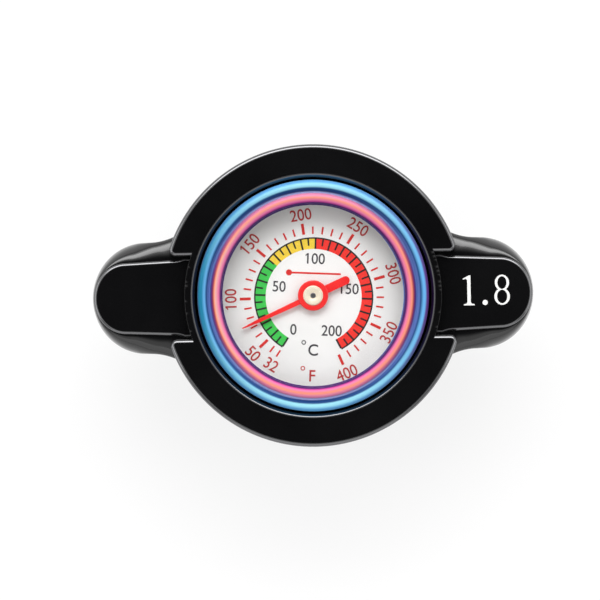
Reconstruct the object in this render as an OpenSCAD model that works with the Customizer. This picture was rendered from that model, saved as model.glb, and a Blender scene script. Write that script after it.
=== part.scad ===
// Radiator cap with a thermometer in its top: a wing cap for a bayonet filler neck.
// The neck's rim meets the rubber gasket at z = 0, on the axis.
// The wings lie along X, and the dial's top is at +Y.

/* [Filler neck] */
// Outer diameter of the gasket that seals on the neck's rim
gasket_od = 38.4; // [36:0.2:39]
// Inner diameter of that gasket
gasket_id = 30.4; // [29:0.2:32]
// Thickness of that gasket
gasket_t = 1.8; // [1.2:0.1:2.6]
// Inside diameter of the bayonet skirt
skirt_id = 45.4; // [44.4:0.2:47]
// How far the bayonet skirt reaches below the neck's rim
skirt_reach = 7.6; // [6:0.2:9]
// Thickness of the bayonet steel
crown_t = 1.0; // [0.8:0.1:1.4]
// How far a bayonet lug reaches inwards
lug_reach = 3.0; // [2:0.2:3.2]
// Arc of each bayonet lug, in degrees
lug_arc = 62; // [40:2:80]
// Depth of the lower valve seat below the neck's rim
valve_reach = 14.6; // [13:0.2:18]

/* [Cover] */
// Diameter of the round cover
cover_d = 54.5; // [52:0.5:60]
// Depth of the round recess that holds the gauge
recess_depth = 6.6; // [5.5:0.1:7.2]
// Thickness of the web under that recess
web_t = 3.0; // [2.6:0.1:5]
// How much of the bayonet skirt shows below the cover
skirt_show = 1.6; // [0.4:0.2:3]
// Rounding of the cover's upper edge
rim_round = 0.7; // [0.4:0.1:1.4]
// Chamfer at the mouth of the recess
mouth_chamfer = 0.4; // [0.2:0.05:1.4]

/* [Wings] */
// Length over both wings
wing_span = 79.4; // [74:0.2:90]
// Width of a wing across its top
wing_top_w = 12.8; // [10:0.2:13.6]
// Width of a wing at its foot
wing_foot_w = 20.0; // [17:0.2:23]
// Height of a wing
wing_h = 12.2; // [10:0.2:14]
// How far the wings' tops lie below the cover's flat rim
wing_drop = 1.8; // [0.8:0.1:3]
// Rounding of a wing's upper edge
wing_round = 0.4; // [0.3:0.1:1]
// Height of the steep wall below a wing's top
wing_wall_h = 3.2; // [2:0.1:4]
// Height of the hollow flank below that wall
wing_cove_h = 3.6; // [2:0.1:4.4]
// Width of the round lip at a wing's foot
wing_lip_w = 0.9; // [0.5:0.1:1.4]
// Width of the notch in the rim that a wing leaves through
notch_w = 15.0; // [14.6:0.2:18]
// Radius of the notch's inner end
notch_r = 23.2; // [22.8:0.1:24.4]
// Depth of the notch below the flat rim
notch_depth = 4.8; // [3.6:0.2:6]
// Rounding of the rim's corners at a notch
notch_round = 1.2; // [0.4:0.1:1.4]
// Wall left round the pocket under a wing
wing_wall = 2.2; // [1.6:0.1:3]
// How far a wing's sides close in towards its tip, in degrees
wing_taper = 2.6; // [0:0.2:4]
// Length of the round end of a wing's top
wing_top_end = 5.8; // [4:0.2:7]
// How far the tip of a wing's top is drawn back from its foot
wing_rake = 0.2; // [0:0.1:1]
// How far the steep wall leans out
wing_draft = 0.25; // [0:0.05:0.5]
// Height of the round lip at a wing's foot
wing_lip_h = 1.4; // [0.8:0.1:2]
// Length over which a wing's top widens into the notch
top_flare_l = 2.0; // [1:0.1:3]
// How much a wing's top widens there, on each side
top_flare_w = 0.4; // [0.2:0.1:1.2]
// Length over which a wing's foot widens into the cover
foot_flare_l = 4.4; // [2:0.2:5]
// How much a wing's foot widens there, on each side
foot_flare_w = 0.95; // [0.2:0.05:1.5]
// Straight length of a wing's foot before its round end
foot_straight = 0.8; // [0.2:0.1:3]

/* [Gauge] */
// Outer diameter of the bezel
bezel_d = 41.7; // [40:0.1:42]
// Diameter of the bezel's opening
window_d = 33.0; // [32:0.1:34]
// Radius of the bezel's two beads
bead_r = 1.05; // [0.8:0.05:1.1]
// Height of the valley between the beads above the lip
valley_rise = 0.35; // [0.1:0.05:0.6]
// Thickness of the bezel's lip over the lens
lip_t = 0.5; // [0.3:0.1:1]
// Wall of the bezel outside the gauge case
bezel_wall = 2.5; // [1.8:0.1:2.8]
// Thickness of the lens
lens_t = 1.4; // [1:0.1:2]
// Height of the lens above the dial
lens_gap = 1.8; // [1.7:0.1:2.4]
// Thickness of the gasket under the lens
lens_gasket_t = 0.6; // [0.4:0.1:1]
// Width of that gasket's ring
lens_gasket_w = 1.2; // [0.8:0.1:1.6]
// Thickness of the dial plate
dial_t = 0.4; // [0.3:0.05:0.6]
// Height of the ring that carries the dial
dial_stand = 1.6; // [1.2:0.1:2.2]
// Width of the ring that carries the dial
dial_ring_w = 1.4; // [1:0.1:2.4]
// Thickness of the gauge case
case_t = 0.6; // [0.4:0.1:0.8]
// Thickness of the rubber washer under the gauge case
case_seal_t = 0.6; // [0.4:0.1:1.2]
// How far that washer stays inside the case
case_seal_inset = 2.0; // [0.5:0.1:4]

/* [Pointer] */
// Temperature that the pointer shows, in degrees C
shown_c = 22; // [0:1:200]
// Length of the pointer from the axis
pointer_l = 14.1; // [12:0.1:15]
// Length of the pointer's tail
tail_l = 7.2; // [5:0.1:9]
// Width of the pointer at its hub
pointer_w = 1.0; // [0.7:0.1:1.4]
// Length from the axis to where the pointer's point begins
pointer_shoulder_l = 11.0; // [9:0.1:11.6]
// Width of the pointer where its point begins
pointer_shoulder_w = 0.65; // [0.4:0.05:0.7]
// Width of the pointer's blunt tip
pointer_tip_w = 0.2; // [0.1:0.05:0.3]
// Width of the tail
tail_w = 1.5; // [1:0.1:2]
// Thickness of the pointer
pointer_t = 0.3; // [0.2:0.05:0.4]
// Height of the pointer above the dial
pointer_gap = 0.6; // [0.4:0.05:0.7]
// Diameter of the pointer's round boss
boss_d = 5.5; // [4.6:0.1:6.5]
// Diameter of the hub that is pressed on the shaft
hub_d = 3.6; // [2.8:0.1:4.2]
// How far the hub stands above the pointer
hub_rise = 0.5; // [0.3:0.05:0.55]

/* [Probe] */
// Diameter of the probe tube
probe_d = 8.0; // [7.6:0.1:8.4]
// Wall of the probe tube
probe_wall = 0.8; // [0.6:0.1:1]
// Diameter of the pointer's shaft
shaft_d = 1.0; // [0.8:0.1:1.4]
// Width of the bimetal strip
strip_w = 1.2; // [0.8:0.1:1.6]
// Thickness of the bimetal strip
strip_t = 0.3; // [0.2:0.05:0.4]
// Gap between the turns of the bimetal coil
strip_gap = 0.8; // [0.6:0.1:1.2]
// How far the probe's tip stays above the lower valve seat
tip_recess = 0.6; // [0.2:0.1:1]
// Length of the tip below the retaining clip
tip_land = 1.1; // [0.8:0.1:1.6]
// Depth of the groove for that clip
groove_depth = 0.5; // [0.3:0.1:0.7]
// Solid length of the tip above the clip
plug_h = 0.9; // [0.5:0.1:1.5]
// Thickness of the retaining clip
clip_t = 0.6; // [0.4:0.1:0.8]
// Diameter of the retaining clip
clip_d = 12.0; // [11:0.2:13]
// Width of the clip's open mouth
clip_mouth = 4.8; // [3:0.2:6]
// How far the probe's flange reaches out over the case floor
probe_flange_w = 1.4; // [0.8:0.1:2.4]
// Thickness of that flange
probe_flange_h = 0.8; // [0.5:0.1:1]
// Length of the bush that guides the shaft
bush_h = 1.4; // [1:0.1:2.4]
// Height of the plug that holds the coil's foot
anchor_h = 1.5; // [1.2:0.1:2.4]
// How far the shaft's foot stands in that plug
shaft_foot = 1.0; // [0.6:0.1:1.1]
// Length of the collet that ties the coil to the shaft
collet_h = 1.8; // [1.4:0.1:2.6]

/* [Seals and springs] */
// Thickness of the domed spring disc
disc_t = 0.4; // [0.3:0.05:0.6]
// Height of the spring disc's dome
disc_dish = 1.4; // [1:0.1:2]
// Diameter of the spring disc
disc_d = 42.0; // [40.6:0.2:43]
// How far the spring disc's step stays inside the gasket
disc_step_gap = 0.2; // [0.1:0.05:0.4]
// Flat margin of the disc and its seat round the spring
seat_margin = 0.8; // [0.4:0.1:1.2]
// Thickness of the brass thrust washer
thrust_t = 0.4; // [0.3:0.1:0.8]
// Diameter of the brass thrust washer
thrust_d = 18.0; // [14:0.5:22]
// Wire of the pressure spring
spring_wire = 1.8; // [1.4:0.1:2]
// Mean diameter of the pressure spring
spring_d = 21.2; // [20.4:0.2:22]
// Gap between the turns of the pressure spring
spring_pitch_gap = 0.8; // [0.6:0.1:1.4]
// Thickness of the pressed steel of the valve and the spring seat
pressing_t = 0.8; // [0.6:0.1:1]
// Height of the valve's hat
hat_h = 4.6; // [4.4:0.1:5.4]
// Diameter of the rubber valve seal
valve_seal_d = 28.0; // [26:0.2:28.6]
// Thickness of the rubber valve seal
valve_seal_t = 2.2; // [1.8:0.1:2.8]
// How far the valve plate stands out past the seal
plate_margin = 0.2; // [0:0.05:0.4]
// How far the seal's retainer lies outside the hat
retainer_offset = 1.0; // [0.8:0.1:1.2]
// Width of the retainer's lip
retainer_lip_w = 1.3; // [0.8:0.1:1.6]
// Thickness of the retainer's lip
retainer_lip_t = 0.5; // [0.4:0.05:0.8]
// How far that lip stays above the seal's face
retainer_recess = 0.5; // [0.2:0.1:0.8]
// Thickness of the brass vacuum disc
vacuum_disc_t = 0.8; // [0.6:0.1:1]
// Thickness of the vacuum valve's rubber ring
vacuum_seal_t = 0.8; // [0.6:0.1:1]
// Wire of the vacuum spring
vacuum_wire = 0.4; // [0.3:0.05:0.5]
// Gap between the turns of the vacuum spring
vacuum_pitch_gap = 0.45; // [0.42:0.01:0.7]
// Thickness of the washer under the vacuum spring
vacuum_seat_t = 0.5; // [0.4:0.05:0.7]
// How far the valve's collar stands below that washer
collar_foot = 0.2; // [0.1:0.05:0.4]
// Diameter of the vents in the hat
vent_d = 1.6; // [1:0.1:2]
// Section of the O-ring on the probe
o_ring_w = 1.1; // [0.9:0.05:1.3]

/* [Screws] */
// Shank diameter of the screws that hold the bayonet crown
screw_d = 2.5; // [2:0.1:3]
// Head diameter of those screws
screw_head_d = 4.6; // [4:0.1:5]
// Height of the screw heads
screw_head_h = 1.2; // [0.8:0.1:1.3]
// Length of the screws in the cover
screw_grip = 2.0; // [1.5:0.1:2.2]
// Width of the six-sided socket in a screw's head, across its corners
socket_d = 2.2; // [1.6:0.1:2.8]
// Depth of that socket
socket_depth = 0.6; // [0.4:0.1:0.7]
// Diameter of the circle the screws lie on
screw_circle = 36.0; // [34:0.2:37]

/* [Fits] */
// Radial clearance of what slides or turns on the probe or in a bush
slide_gap = 0.05; // [0.02:0.01:0.08]
// Radial gap round a piece that is set into another
set_gap = 0.1; // [0.05:0.05:0.2]
// Gap round a piece that moves free of another
free_gap = 0.5; // [0.3:0.1:0.8]
// Radial gap between the bezel and its recess
bezel_gap = 0.45; // [0.1:0.05:1]
// Radial gap of a loose bore round the probe or the shaft
loose_gap = 0.3; // [0.2:0.05:0.5]
// Radial gap of the vacuum valve on its collar
vacuum_gap = 0.15; // [0.1:0.05:0.3]

/* [Hidden] */
$fn = 96;
over = 1;

// Heights, from the neck's rim upwards
disc_low_z = gasket_t;
disc_high_z = disc_low_z + disc_dish;
thrust_z = disc_high_z + disc_t;
crown_z = thrust_z + thrust_t;
web_z = crown_z + crown_t;
recess_z = web_z + web_t;
rim_z = recess_z + recess_depth;
case_z = recess_z + case_seal_t;
case_floor_z = case_z + case_t;
dial_z = case_floor_z + dial_stand;
dial_top_z = dial_z + dial_t;
pointer_z = dial_top_z + pointer_gap;
hub_top_z = pointer_z + pointer_t + hub_rise;
lens_z = dial_top_z + lens_gap;
case_rim_z = lens_z - lens_gasket_t;
lens_top_z = lens_z + lens_t;
bead_z = lens_top_z + lip_t;
wing_top_z = rim_z - wing_drop;

// Depths, from the neck's rim downwards
cover_low_z = skirt_show - skirt_reach;
valve_low_z = -valve_reach;
plate_z = valve_low_z + valve_seal_t;
plate_top_z = plate_z + pressing_t;
hat_top_z = plate_top_z + hat_h;
hat_under_z = hat_top_z - pressing_t;
tip_z = valve_low_z + tip_recess;
clip_z = tip_z + tip_land;
clip_top_z = clip_z + clip_t;

// Radii of the cover and the gauge
cover_r = cover_d / 2;
crown_in_r = skirt_id / 2;
crown_r = crown_in_r + crown_t;
bezel_r = bezel_d / 2;
window_r = window_d / 2;
recess_r = bezel_r + bezel_gap;
case_r = bezel_r - bezel_wall - set_gap;
case_in_r = case_r - case_t;
dial_r = case_in_r - set_gap;
case_seal_r = case_in_r - case_seal_inset;

// Radii of the probe and what rides on it
probe_r = probe_d / 2;
probe_in_r = probe_r - probe_wall;
shaft_r = shaft_d / 2;
slide_r = probe_r + slide_gap;
loose_r = probe_r + loose_gap;
clip_groove_r = probe_r - groove_depth;
plug_top_z = clip_top_z + plug_h;
anchor_top_z = plug_top_z + anchor_h;
shaft_low_z = anchor_top_z - shaft_foot;
bush_z = case_floor_z - bush_h;
collet_z = bush_z - collet_h - free_gap;
strip_r = probe_in_r - free_gap - strip_t / 2;
collet_r = strip_r - strip_t / 2 - free_gap;
coil_low_z = anchor_top_z + strip_w / 2;
coil_high_z = collet_z + collet_h - strip_w / 2;

// The seal stack
disc_r = disc_d / 2;
disc_step_r = gasket_id / 2 - disc_step_gap;
seat_r = spring_d / 2 + spring_wire / 2 + seat_margin;
disc_flat_r = seat_r + set_gap;
seat_z = disc_high_z - pressing_t;
o_ring_r = slide_r + o_ring_w / 2;
seat_pocket_r = slide_r + o_ring_w + slide_gap;
seat_pocket_z = disc_high_z - o_ring_w - slide_gap;
seat_collar_r = seat_pocket_r + pressing_t;
seat_low_z = seat_pocket_z - pressing_t;

// The valves
spring_r = spring_d / 2;
hat_r = spring_r - spring_wire / 2 - free_gap;
hat_in_r = hat_r - pressing_t;
collar_r = slide_r + pressing_t;
valve_seal_r = valve_seal_d / 2;
plate_r = valve_seal_r + plate_margin;
retainer_r = hat_r + retainer_offset;
retainer_lip_r = retainer_r + retainer_lip_w;
retainer_z = valve_low_z + retainer_recess;
vacuum_in_r = collar_r + vacuum_gap;
vacuum_r = hat_in_r - free_gap;
vacuum_seal_z = hat_under_z - vacuum_seal_t;
vacuum_disc_z = vacuum_seal_z - vacuum_disc_t;
vacuum_seat_z = clip_top_z + collar_foot;
vacuum_spring_z = vacuum_seat_z + vacuum_seat_t;
vacuum_spring_r = (vacuum_in_r + vacuum_r) / 2;
vent_count = 6;
screw_count = 3;

// The scale runs clockwise from 0 degrees C at scale_start, 1.5 degrees of turn for each degree C
scale_start = 237;
scale_step = 1.5;
pointer_angle = scale_start - scale_step * shown_c;

// Where a wing's top and foot stop widening, and the round end of its foot
top_waist_x = notch_r + top_flare_l;
foot_waist_x = sqrt(cover_r * cover_r - pow(wing_foot_w / 2 + foot_flare_w, 2)) + foot_flare_l;
wing_foot_end = wing_span / 2 - foot_waist_x - foot_straight;
wing_root_x = recess_r + set_gap;
flare_steps = 4;
end_steps = 14;

function between(a, b, t) = a + (b - a) * t;

// A flat ring from inner to outer radius, standing on z
module ring(outer, inner, z, height) {
  translate([0, 0, z])
    difference() {
      cylinder(r = outer, h = height);
      translate([0, 0, -over]) cylinder(r = inner, h = height + 2 * over);
    }
}

// What a fillet of radius r takes off a square corner at the origin, below and left of it
module corner_waste(r) {
  difference() {
    translate([-r, -r]) square(r + over);
    translate([-r, -r]) circle(r);
  }
}

// Steps down a wing's flank, as [half width, depth below the wing's top]
cove_start = wing_top_w / 2 + wing_draft;
cove_w = wing_foot_w / 2 - wing_lip_w - cove_start;
lip_depth = wing_wall_h + wing_cove_h;
edge_steps = [for (i = [0:3])
  [wing_top_w / 2 - wing_round * (1 - sin(30 * i)), wing_round * (1 - cos(30 * i))]];
cove_steps = [for (i = [0:5])
  [cove_start + cove_w * (1 - cos(18 * i)), wing_wall_h + wing_cove_h * sin(18 * i)]];
lip_steps = [for (i = [1:3])
  [wing_foot_w / 2 - wing_lip_w * (1 - sin(30 * i)), lip_depth + wing_lip_h * (1 - cos(30 * i))]];
flank = concat([[edge_steps[0][0], -over]], edge_steps, cove_steps, lip_steps,
               [[wing_foot_w / 2, wing_h + over]]);

// One side of a wing's outline at a flank step, from the axis of the cap out to the tip
function wing_side(step) =
  let (
    t = (step[0] - wing_top_w / 2) / ((wing_foot_w - wing_top_w) / 2),
    share = max(t, 0),
    tip_x = wing_span / 2 - wing_rake * (1 - share) + min(step[0] - wing_top_w / 2, 0),
    end = between(wing_top_end, wing_foot_end, t),
    waist_x = between(top_waist_x, foot_waist_x, share),
    waist_w = step[0] + (tip_x - end - waist_x) * tan(wing_taper),
    flare_l = between(top_flare_l, foot_flare_l, share),
    flare_w = between(top_flare_w, foot_flare_w, share),
    flare = [for (i = [flare_steps:-1:0])
      let (s = i / flare_steps) [waist_x - flare_l * s, waist_w + flare_w * s * s]],
    tip_arc = [for (i = [0:end_steps])
      let (a = 90 - 90 * i / end_steps) [tip_x - end + end * cos(a), step[0] * sin(a)]]
  )
  concat([[wing_root_x, waist_w + flare_w]], flare, tip_arc);

// The whole outline: one side, then the other side mirrored back, with the tip point once
function wing_outline(step) =
  let (side = wing_side(step), last = len(side) - 1)
  concat(side, [for (i = [last - 1:-1:0]) [side[i][0], -side[i][1]]]);

// A loft through a wing's outlines, from the foot up, a little longer than the wing at both ends
module wing_loft() {
  outlines = [for (i = [len(flank) - 1:-1:0])
    [for (p = wing_outline(flank[i])) [p[0], p[1], wing_top_z - flank[i][1]]]];
  count = len(outlines[0]);
  rows = len(outlines);
  points = [for (row = outlines) each row];
  walls = [for (row = [0:rows - 2], i = [0:count - 1])
    let (a = row * count + i, b = row * count + (i + 1) % count)
    each [[a, b, a + count], [b, b + count, a + count]]];
  bottom = [for (i = [count - 1:-1:0]) i];
  top = [for (i = [0:count - 1]) (rows - 1) * count + i];
  polyhedron(points, concat(walls, [bottom, top]), convexity = 6);
}

// A wing, cut flat at its top and foot
module wing() {
  intersection() {
    wing_loft();
    translate([0, -cover_r, wing_top_z - wing_h]) cube([wing_span, cover_d, wing_h]);
  }
}

// The hollow in a wing's underside, open below
module wing_pocket() {
  half = wing_top_w / 2 - wing_wall;
  start = cover_r + wing_wall;
  end = wing_span / 2 - wing_wall - half;
  translate([0, 0, wing_top_z - wing_h - over])
    linear_extrude(wing_h - wing_wall + over) {
      translate([start, -half]) square([end - start, 2 * half]);
      translate([end, 0]) circle(half);
    }
}

// The notch in the rim at a wing, with the rim's corners rounded
module wing_notch() {
  half = notch_w / 2;
  corner_x = sqrt(cover_r * cover_r - half * half);
  centre_y = half + notch_round;
  centre_x = sqrt(pow(cover_r - notch_round, 2) - centre_y * centre_y);
  reach = cover_r / (cover_r - notch_round);
  translate([0, 0, rim_z - notch_depth])
    linear_extrude(notch_depth + over) {
      difference() {
        translate([0, -half]) square([cover_r + over, notch_w]);
        circle(notch_r);
      }
      for (side = [-1, 1])
        difference() {
          polygon([[centre_x, side * (half - over)], [corner_x + over, side * (half - over)],
                   [corner_x + over, side * centre_y], [centre_x * reach, side * centre_y * reach],
                   [centre_x, side * centre_y]]);
          translate([centre_x, side * centre_y]) circle(notch_round);
        }
    }
}

module screw_places() {
  for (i = [0:screw_count - 1])
    rotate(360 * i / screw_count + 90)
      translate([screw_circle / 2, 0, 0]) children();
}

// Cast cover: a notched rim round the gauge recess, two wings, and a skirt over the bayonet crown
module cap_cover() {
  color("#161616")
    difference() {
      union() {
        difference() {
          rotate_extrude()
            difference() {
              translate([0, cover_low_z]) square([cover_r, rim_z - cover_low_z]);
              translate([cover_r, rim_z]) corner_waste(rim_round);
              translate([cover_r, cover_low_z]) mirror([0, 1]) corner_waste(rim_round / 2);
            }
          for (turn = [0, 180]) rotate(turn) wing_notch();
        }
        for (turn = [0, 180]) rotate(turn) wing();
      }
      translate([0, 0, recess_z]) cylinder(r = recess_r, h = recess_depth + over);
      translate([0, 0, rim_z - mouth_chamfer])
        cylinder(r1 = recess_r, r2 = recess_r + mouth_chamfer + over, h = mouth_chamfer + over);
      translate([0, 0, cover_low_z - over])
        cylinder(r = crown_r + set_gap, h = web_z - cover_low_z + over);
      translate([0, 0, web_z - over]) cylinder(r = probe_r + set_gap, h = web_t + 2 * over);
      screw_places() translate([0, 0, web_z - over]) cylinder(d = screw_d, h = screw_grip + over);
      for (turn = [0, 180]) rotate(turn) wing_pocket();
    }
}

// Pressed steel crown with two lugs that hook under the filler neck's cams
module bayonet_crown() {
  color("#b9bcc0") {
    difference() {
      rotate_extrude()
        difference() {
          translate([slide_r, -skirt_reach]) square([crown_r - slide_r, web_z + skirt_reach]);
          translate([0, -skirt_reach - over]) square([crown_in_r, crown_z + skirt_reach + over]);
          translate([crown_r, web_z]) corner_waste(crown_t);
        }
      screw_places() translate([0, 0, crown_z - over])
        cylinder(d = screw_d + 2 * set_gap, h = crown_t + 2 * over);
    }
    for (turn = [90, 270])
      rotate(turn - lug_arc / 2)
        rotate_extrude(angle = lug_arc)
          translate([crown_in_r - lug_reach, -skirt_reach]) square([lug_reach + crown_t / 2, crown_t]);
  }
}

module crown_screws() {
  color("#9a9da2")
    screw_places() {
      translate([0, 0, crown_z - screw_head_h])
        difference() {
          cylinder(d = screw_head_d, h = screw_head_h);
          translate([0, 0, -over]) cylinder(d = socket_d, h = over + socket_depth, $fn = 6);
        }
      translate([0, 0, crown_z - over / 2]) cylinder(d = screw_d, h = crown_t + screw_grip + over / 2);
    }
}

module thrust_washer() {
  color("#c9a94e") ring(thrust_d / 2, loose_r, thrust_z, thrust_t);
}

module case_seal() {
  color("#1f1f20") ring(case_seal_r, loose_r, recess_z, case_seal_t);
}

// Drawn cup that holds the dial, with its rim under the lens gasket
module gauge_case() {
  color("#c4c6c8") {
    ring(case_r, probe_r + set_gap, case_z, case_t);
    ring(case_r, case_in_r, case_z, case_rim_z - case_z);
  }
}

module dial_ring() {
  color("#d8d8d4") ring(dial_r, dial_r - dial_ring_w, case_floor_z, dial_stand);
}

module dial_plate() {
  color("#ececec") ring(dial_r, shaft_r + loose_gap, dial_z, dial_t);
}

module lens() {
  color("#dfeaf0", 0.35) translate([0, 0, lens_z]) cylinder(r = case_r, h = lens_t);
}

module lens_gasket() {
  color("#222224") ring(case_r, case_r - lens_gasket_w, case_rim_z, lens_gasket_t);
}

// Turned bezel with two round beads, its lip over the lens and its skirt round the case
module bezel() {
  crests = [window_r + bead_r, bezel_r - bead_r];
  top_z = bead_z + bead_r;
  color("#7f9fe0")
    rotate_extrude()
      difference() {
        polygon([[window_r, lens_top_z], [window_r, top_z], [bezel_r, top_z], [bezel_r, case_z],
                 [case_r + set_gap, case_z], [case_r + set_gap, lens_top_z]]);
        translate([bezel_r, top_z]) corner_waste(bead_r);
        translate([window_r, top_z]) mirror([1, 0]) corner_waste(bead_r);
        difference() {
          translate([crests[0], bead_z + valley_rise]) square([crests[1] - crests[0], bead_r + over]);
          for (x = crests) translate([x, bead_z]) circle(bead_r);
        }
      }
}

// Brass tube into the coolant, flanged over the case floor and grooved at its tip for the clip
module probe_tube() {
  flange_r = probe_r + probe_flange_w;
  color("#c8a951")
    rotate_extrude()
      polygon([[0, tip_z], [probe_r, tip_z], [probe_r, clip_z], [clip_groove_r, clip_z],
               [clip_groove_r, clip_top_z], [probe_r, clip_top_z], [probe_r, case_floor_z],
               [flange_r, case_floor_z], [flange_r, case_floor_z + probe_flange_h],
               [probe_in_r, case_floor_z + probe_flange_h], [probe_in_r, plug_top_z], [0, plug_top_z]]);
}

module shaft_bush() {
  color("#b8903c") ring(probe_in_r, shaft_r + slide_gap, bush_z, bush_h);
}

// Plug that holds the coil's lower end and steadies the shaft's foot
module coil_anchor() {
  color("#b8903c")
    translate([0, 0, plug_top_z])
      difference() {
        cylinder(r = probe_in_r, h = anchor_h);
        translate([0, 0, shaft_low_z - plug_top_z - slide_gap])
          cylinder(r = shaft_r + slide_gap, h = anchor_h);
      }
}

// A bar wound round the axis as one unbroken tube.
// Its section holds [across, up] offsets, counted anticlockwise.
module wound_bar(radius, section, z_low, z_high, turns, rings_per_turn) {
  sides = len(section);
  rings = round(turns * rings_per_turn);
  points = [for (i = [0:rings])
    let (a = 360 * turns * i / rings, z = between(z_low, z_high, i / rings))
    each [for (s = section) [(radius + s[0]) * cos(a), (radius + s[0]) * sin(a), z + s[1]]]];
  walls = [for (i = [0:rings - 1], j = [0:sides - 1])
    let (a = i * sides + j, b = i * sides + (j + 1) % sides)
    each [[a, b, a + sides], [b, b + sides, a + sides]]];
  first = [for (j = [1:sides - 2]) [0, j + 1, j]];
  last = [for (j = [1:sides - 2]) [rings * sides, rings * sides + j, rings * sides + j + 1]];
  polyhedron(points, concat(walls, first, last), convexity = 8);
}

// Six points round a wire
function wire_section(wire) =
  [for (j = [0:5]) [wire / 2 * cos(60 * j + 30), wire / 2 * sin(60 * j + 30)]];

// Whole quarter turns that fit a height with at least the wanted gap between them
function turns_that_fit(height, wire, gap) = floor(4 * (height - wire) / (wire + gap)) / 4;

// Least gap between neighbouring turns, measured on points along a winding
function winding_gap(radius, wire, height, turns) =
  let (
    rings = 24,
    rise = (height - wire) / turns,
    path = [for (i = [0:turns * rings])
      [radius * cos(360 * i / rings), radius * sin(360 * i / rings), rise * i / rings]]
  )
  min([for (i = [0:len(path) - 1], k = [i + rings / 2:1:len(path) - 1])
    norm(path[k] - path[i])]) - wire;

coil_turns = turns_that_fit(coil_high_z - coil_low_z + strip_w, strip_w, strip_gap);
coil_section = [for (p = [[1, -1], [1, 1], [-1, 1], [-1, -1]]) [p[0] * strip_t / 2, p[1] * strip_w / 2]];
coil_rings = 12;

// Bimetal strip wound in a helix, which turns the shaft as it warms
module bimetal_coil() {
  color("#a58a6a")
    wound_bar(strip_r, coil_section, coil_low_z, coil_high_z, coil_turns, coil_rings);
}
echo(bimetal_coil_gap = winding_gap(strip_r, strip_w, coil_high_z - coil_low_z + strip_w, coil_turns));

// Spring steel clip in the groove of the probe, open on one side
module retaining_clip() {
  color("#8f9296")
    difference() {
      ring(clip_d / 2, clip_groove_r, clip_z, clip_t);
      translate([0, -clip_mouth / 2, clip_z - over]) cube([clip_d, clip_mouth, clip_t + 2 * over]);
    }
}

// Flat needle with a round boss, a fine tip and a heavier tail
module pointer() {
  color("#c8202a")
    rotate(pointer_angle)
      translate([0, 0, pointer_z])
        difference() {
          union() {
            linear_extrude(pointer_t) {
              polygon([[0, -pointer_w / 2], [pointer_shoulder_l, -pointer_shoulder_w / 2],
                       [pointer_l, -pointer_tip_w / 2], [pointer_l, pointer_tip_w / 2],
                       [pointer_shoulder_l, pointer_shoulder_w / 2], [0, pointer_w / 2]]);
              translate([tail_w / 2 - tail_l, -tail_w / 2]) square([tail_l - tail_w / 2, tail_w]);
              translate([tail_w / 2 - tail_l, 0]) circle(tail_w / 2);
            }
            cylinder(d = boss_d, h = pointer_t + hub_rise / 2);
          }
          translate([0, 0, -over]) cylinder(d = hub_d, h = pointer_t + hub_rise + 2 * over);
        }
}

module pointer_hub() {
  hub_z = pointer_z - pointer_gap / 2;
  color("#e6d3b0") ring(hub_d / 2, shaft_r, hub_z, hub_top_z - hub_z);
}

module pointer_shaft() {
  color("#9c9489") translate([0, 0, shaft_low_z]) cylinder(r = shaft_r, h = hub_top_z - shaft_low_z);
}

module coil_collet() {
  color("#b8903c") ring(collet_r, shaft_r, collet_z, collet_h);
}

// Domed steel disc that presses the gasket down
module spring_disc() {
  color("#b7babd")
    rotate_extrude()
      polygon([[loose_r, disc_high_z], [disc_flat_r, disc_high_z], [disc_step_r, disc_low_z],
               [disc_r, disc_low_z], [disc_r, disc_low_z + disc_t], [disc_step_r, disc_low_z + disc_t],
               [disc_flat_r, disc_high_z + disc_t], [loose_r, disc_high_z + disc_t]]);
}

module neck_gasket() {
  color("#1b1b1c") ring(gasket_od / 2, gasket_id / 2, 0, gasket_t);
}

// Flanged collar on the probe that the pressure spring pushes up against, with a pocket for the O-ring
module spring_seat() {
  color("#b2b5b8")
    rotate_extrude()
      polygon([[slide_r, seat_low_z], [seat_collar_r, seat_low_z], [seat_collar_r, seat_z],
               [seat_r, seat_z], [seat_r, disc_high_z], [seat_pocket_r, disc_high_z],
               [seat_pocket_r, seat_pocket_z], [slide_r, seat_pocket_z]]);
}

module stem_o_ring() {
  color("#19191a")
    rotate_extrude() translate([o_ring_r, seat_pocket_z + slide_gap + o_ring_w / 2]) circle(d = o_ring_w);
}

spring_h = seat_z - plate_top_z;
spring_turns = turns_that_fit(spring_h, spring_wire, spring_pitch_gap);
spring_rings = 16;

module pressure_spring() {
  color("#c9ccd0")
    wound_bar(spring_r, wire_section(spring_wire), plate_top_z + spring_wire / 2,
              seat_z - spring_wire / 2, spring_turns, spring_rings);
}
echo(pressure_spring_gap = winding_gap(spring_r, spring_wire, spring_h, spring_turns));

// Pressed valve plate: a flange over the rubber, a vented hat inside the spring and a collar on the probe
module valve_plate() {
  color("#b9bcc0")
    difference() {
      rotate_extrude()
        polygon([[slide_r, clip_top_z], [collar_r, clip_top_z], [collar_r, hat_under_z],
                 [hat_in_r, hat_under_z], [hat_in_r, plate_z], [plate_r, plate_z],
                 [plate_r, plate_top_z], [hat_r, plate_top_z], [hat_r, hat_top_z],
                 [slide_r, hat_top_z]]);
      for (i = [0:vent_count - 1])
        rotate(360 * i / vent_count)
          translate([vacuum_spring_r, 0, hat_under_z - over])
            cylinder(d = vent_d, h = pressing_t + 2 * over);
    }
}

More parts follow.
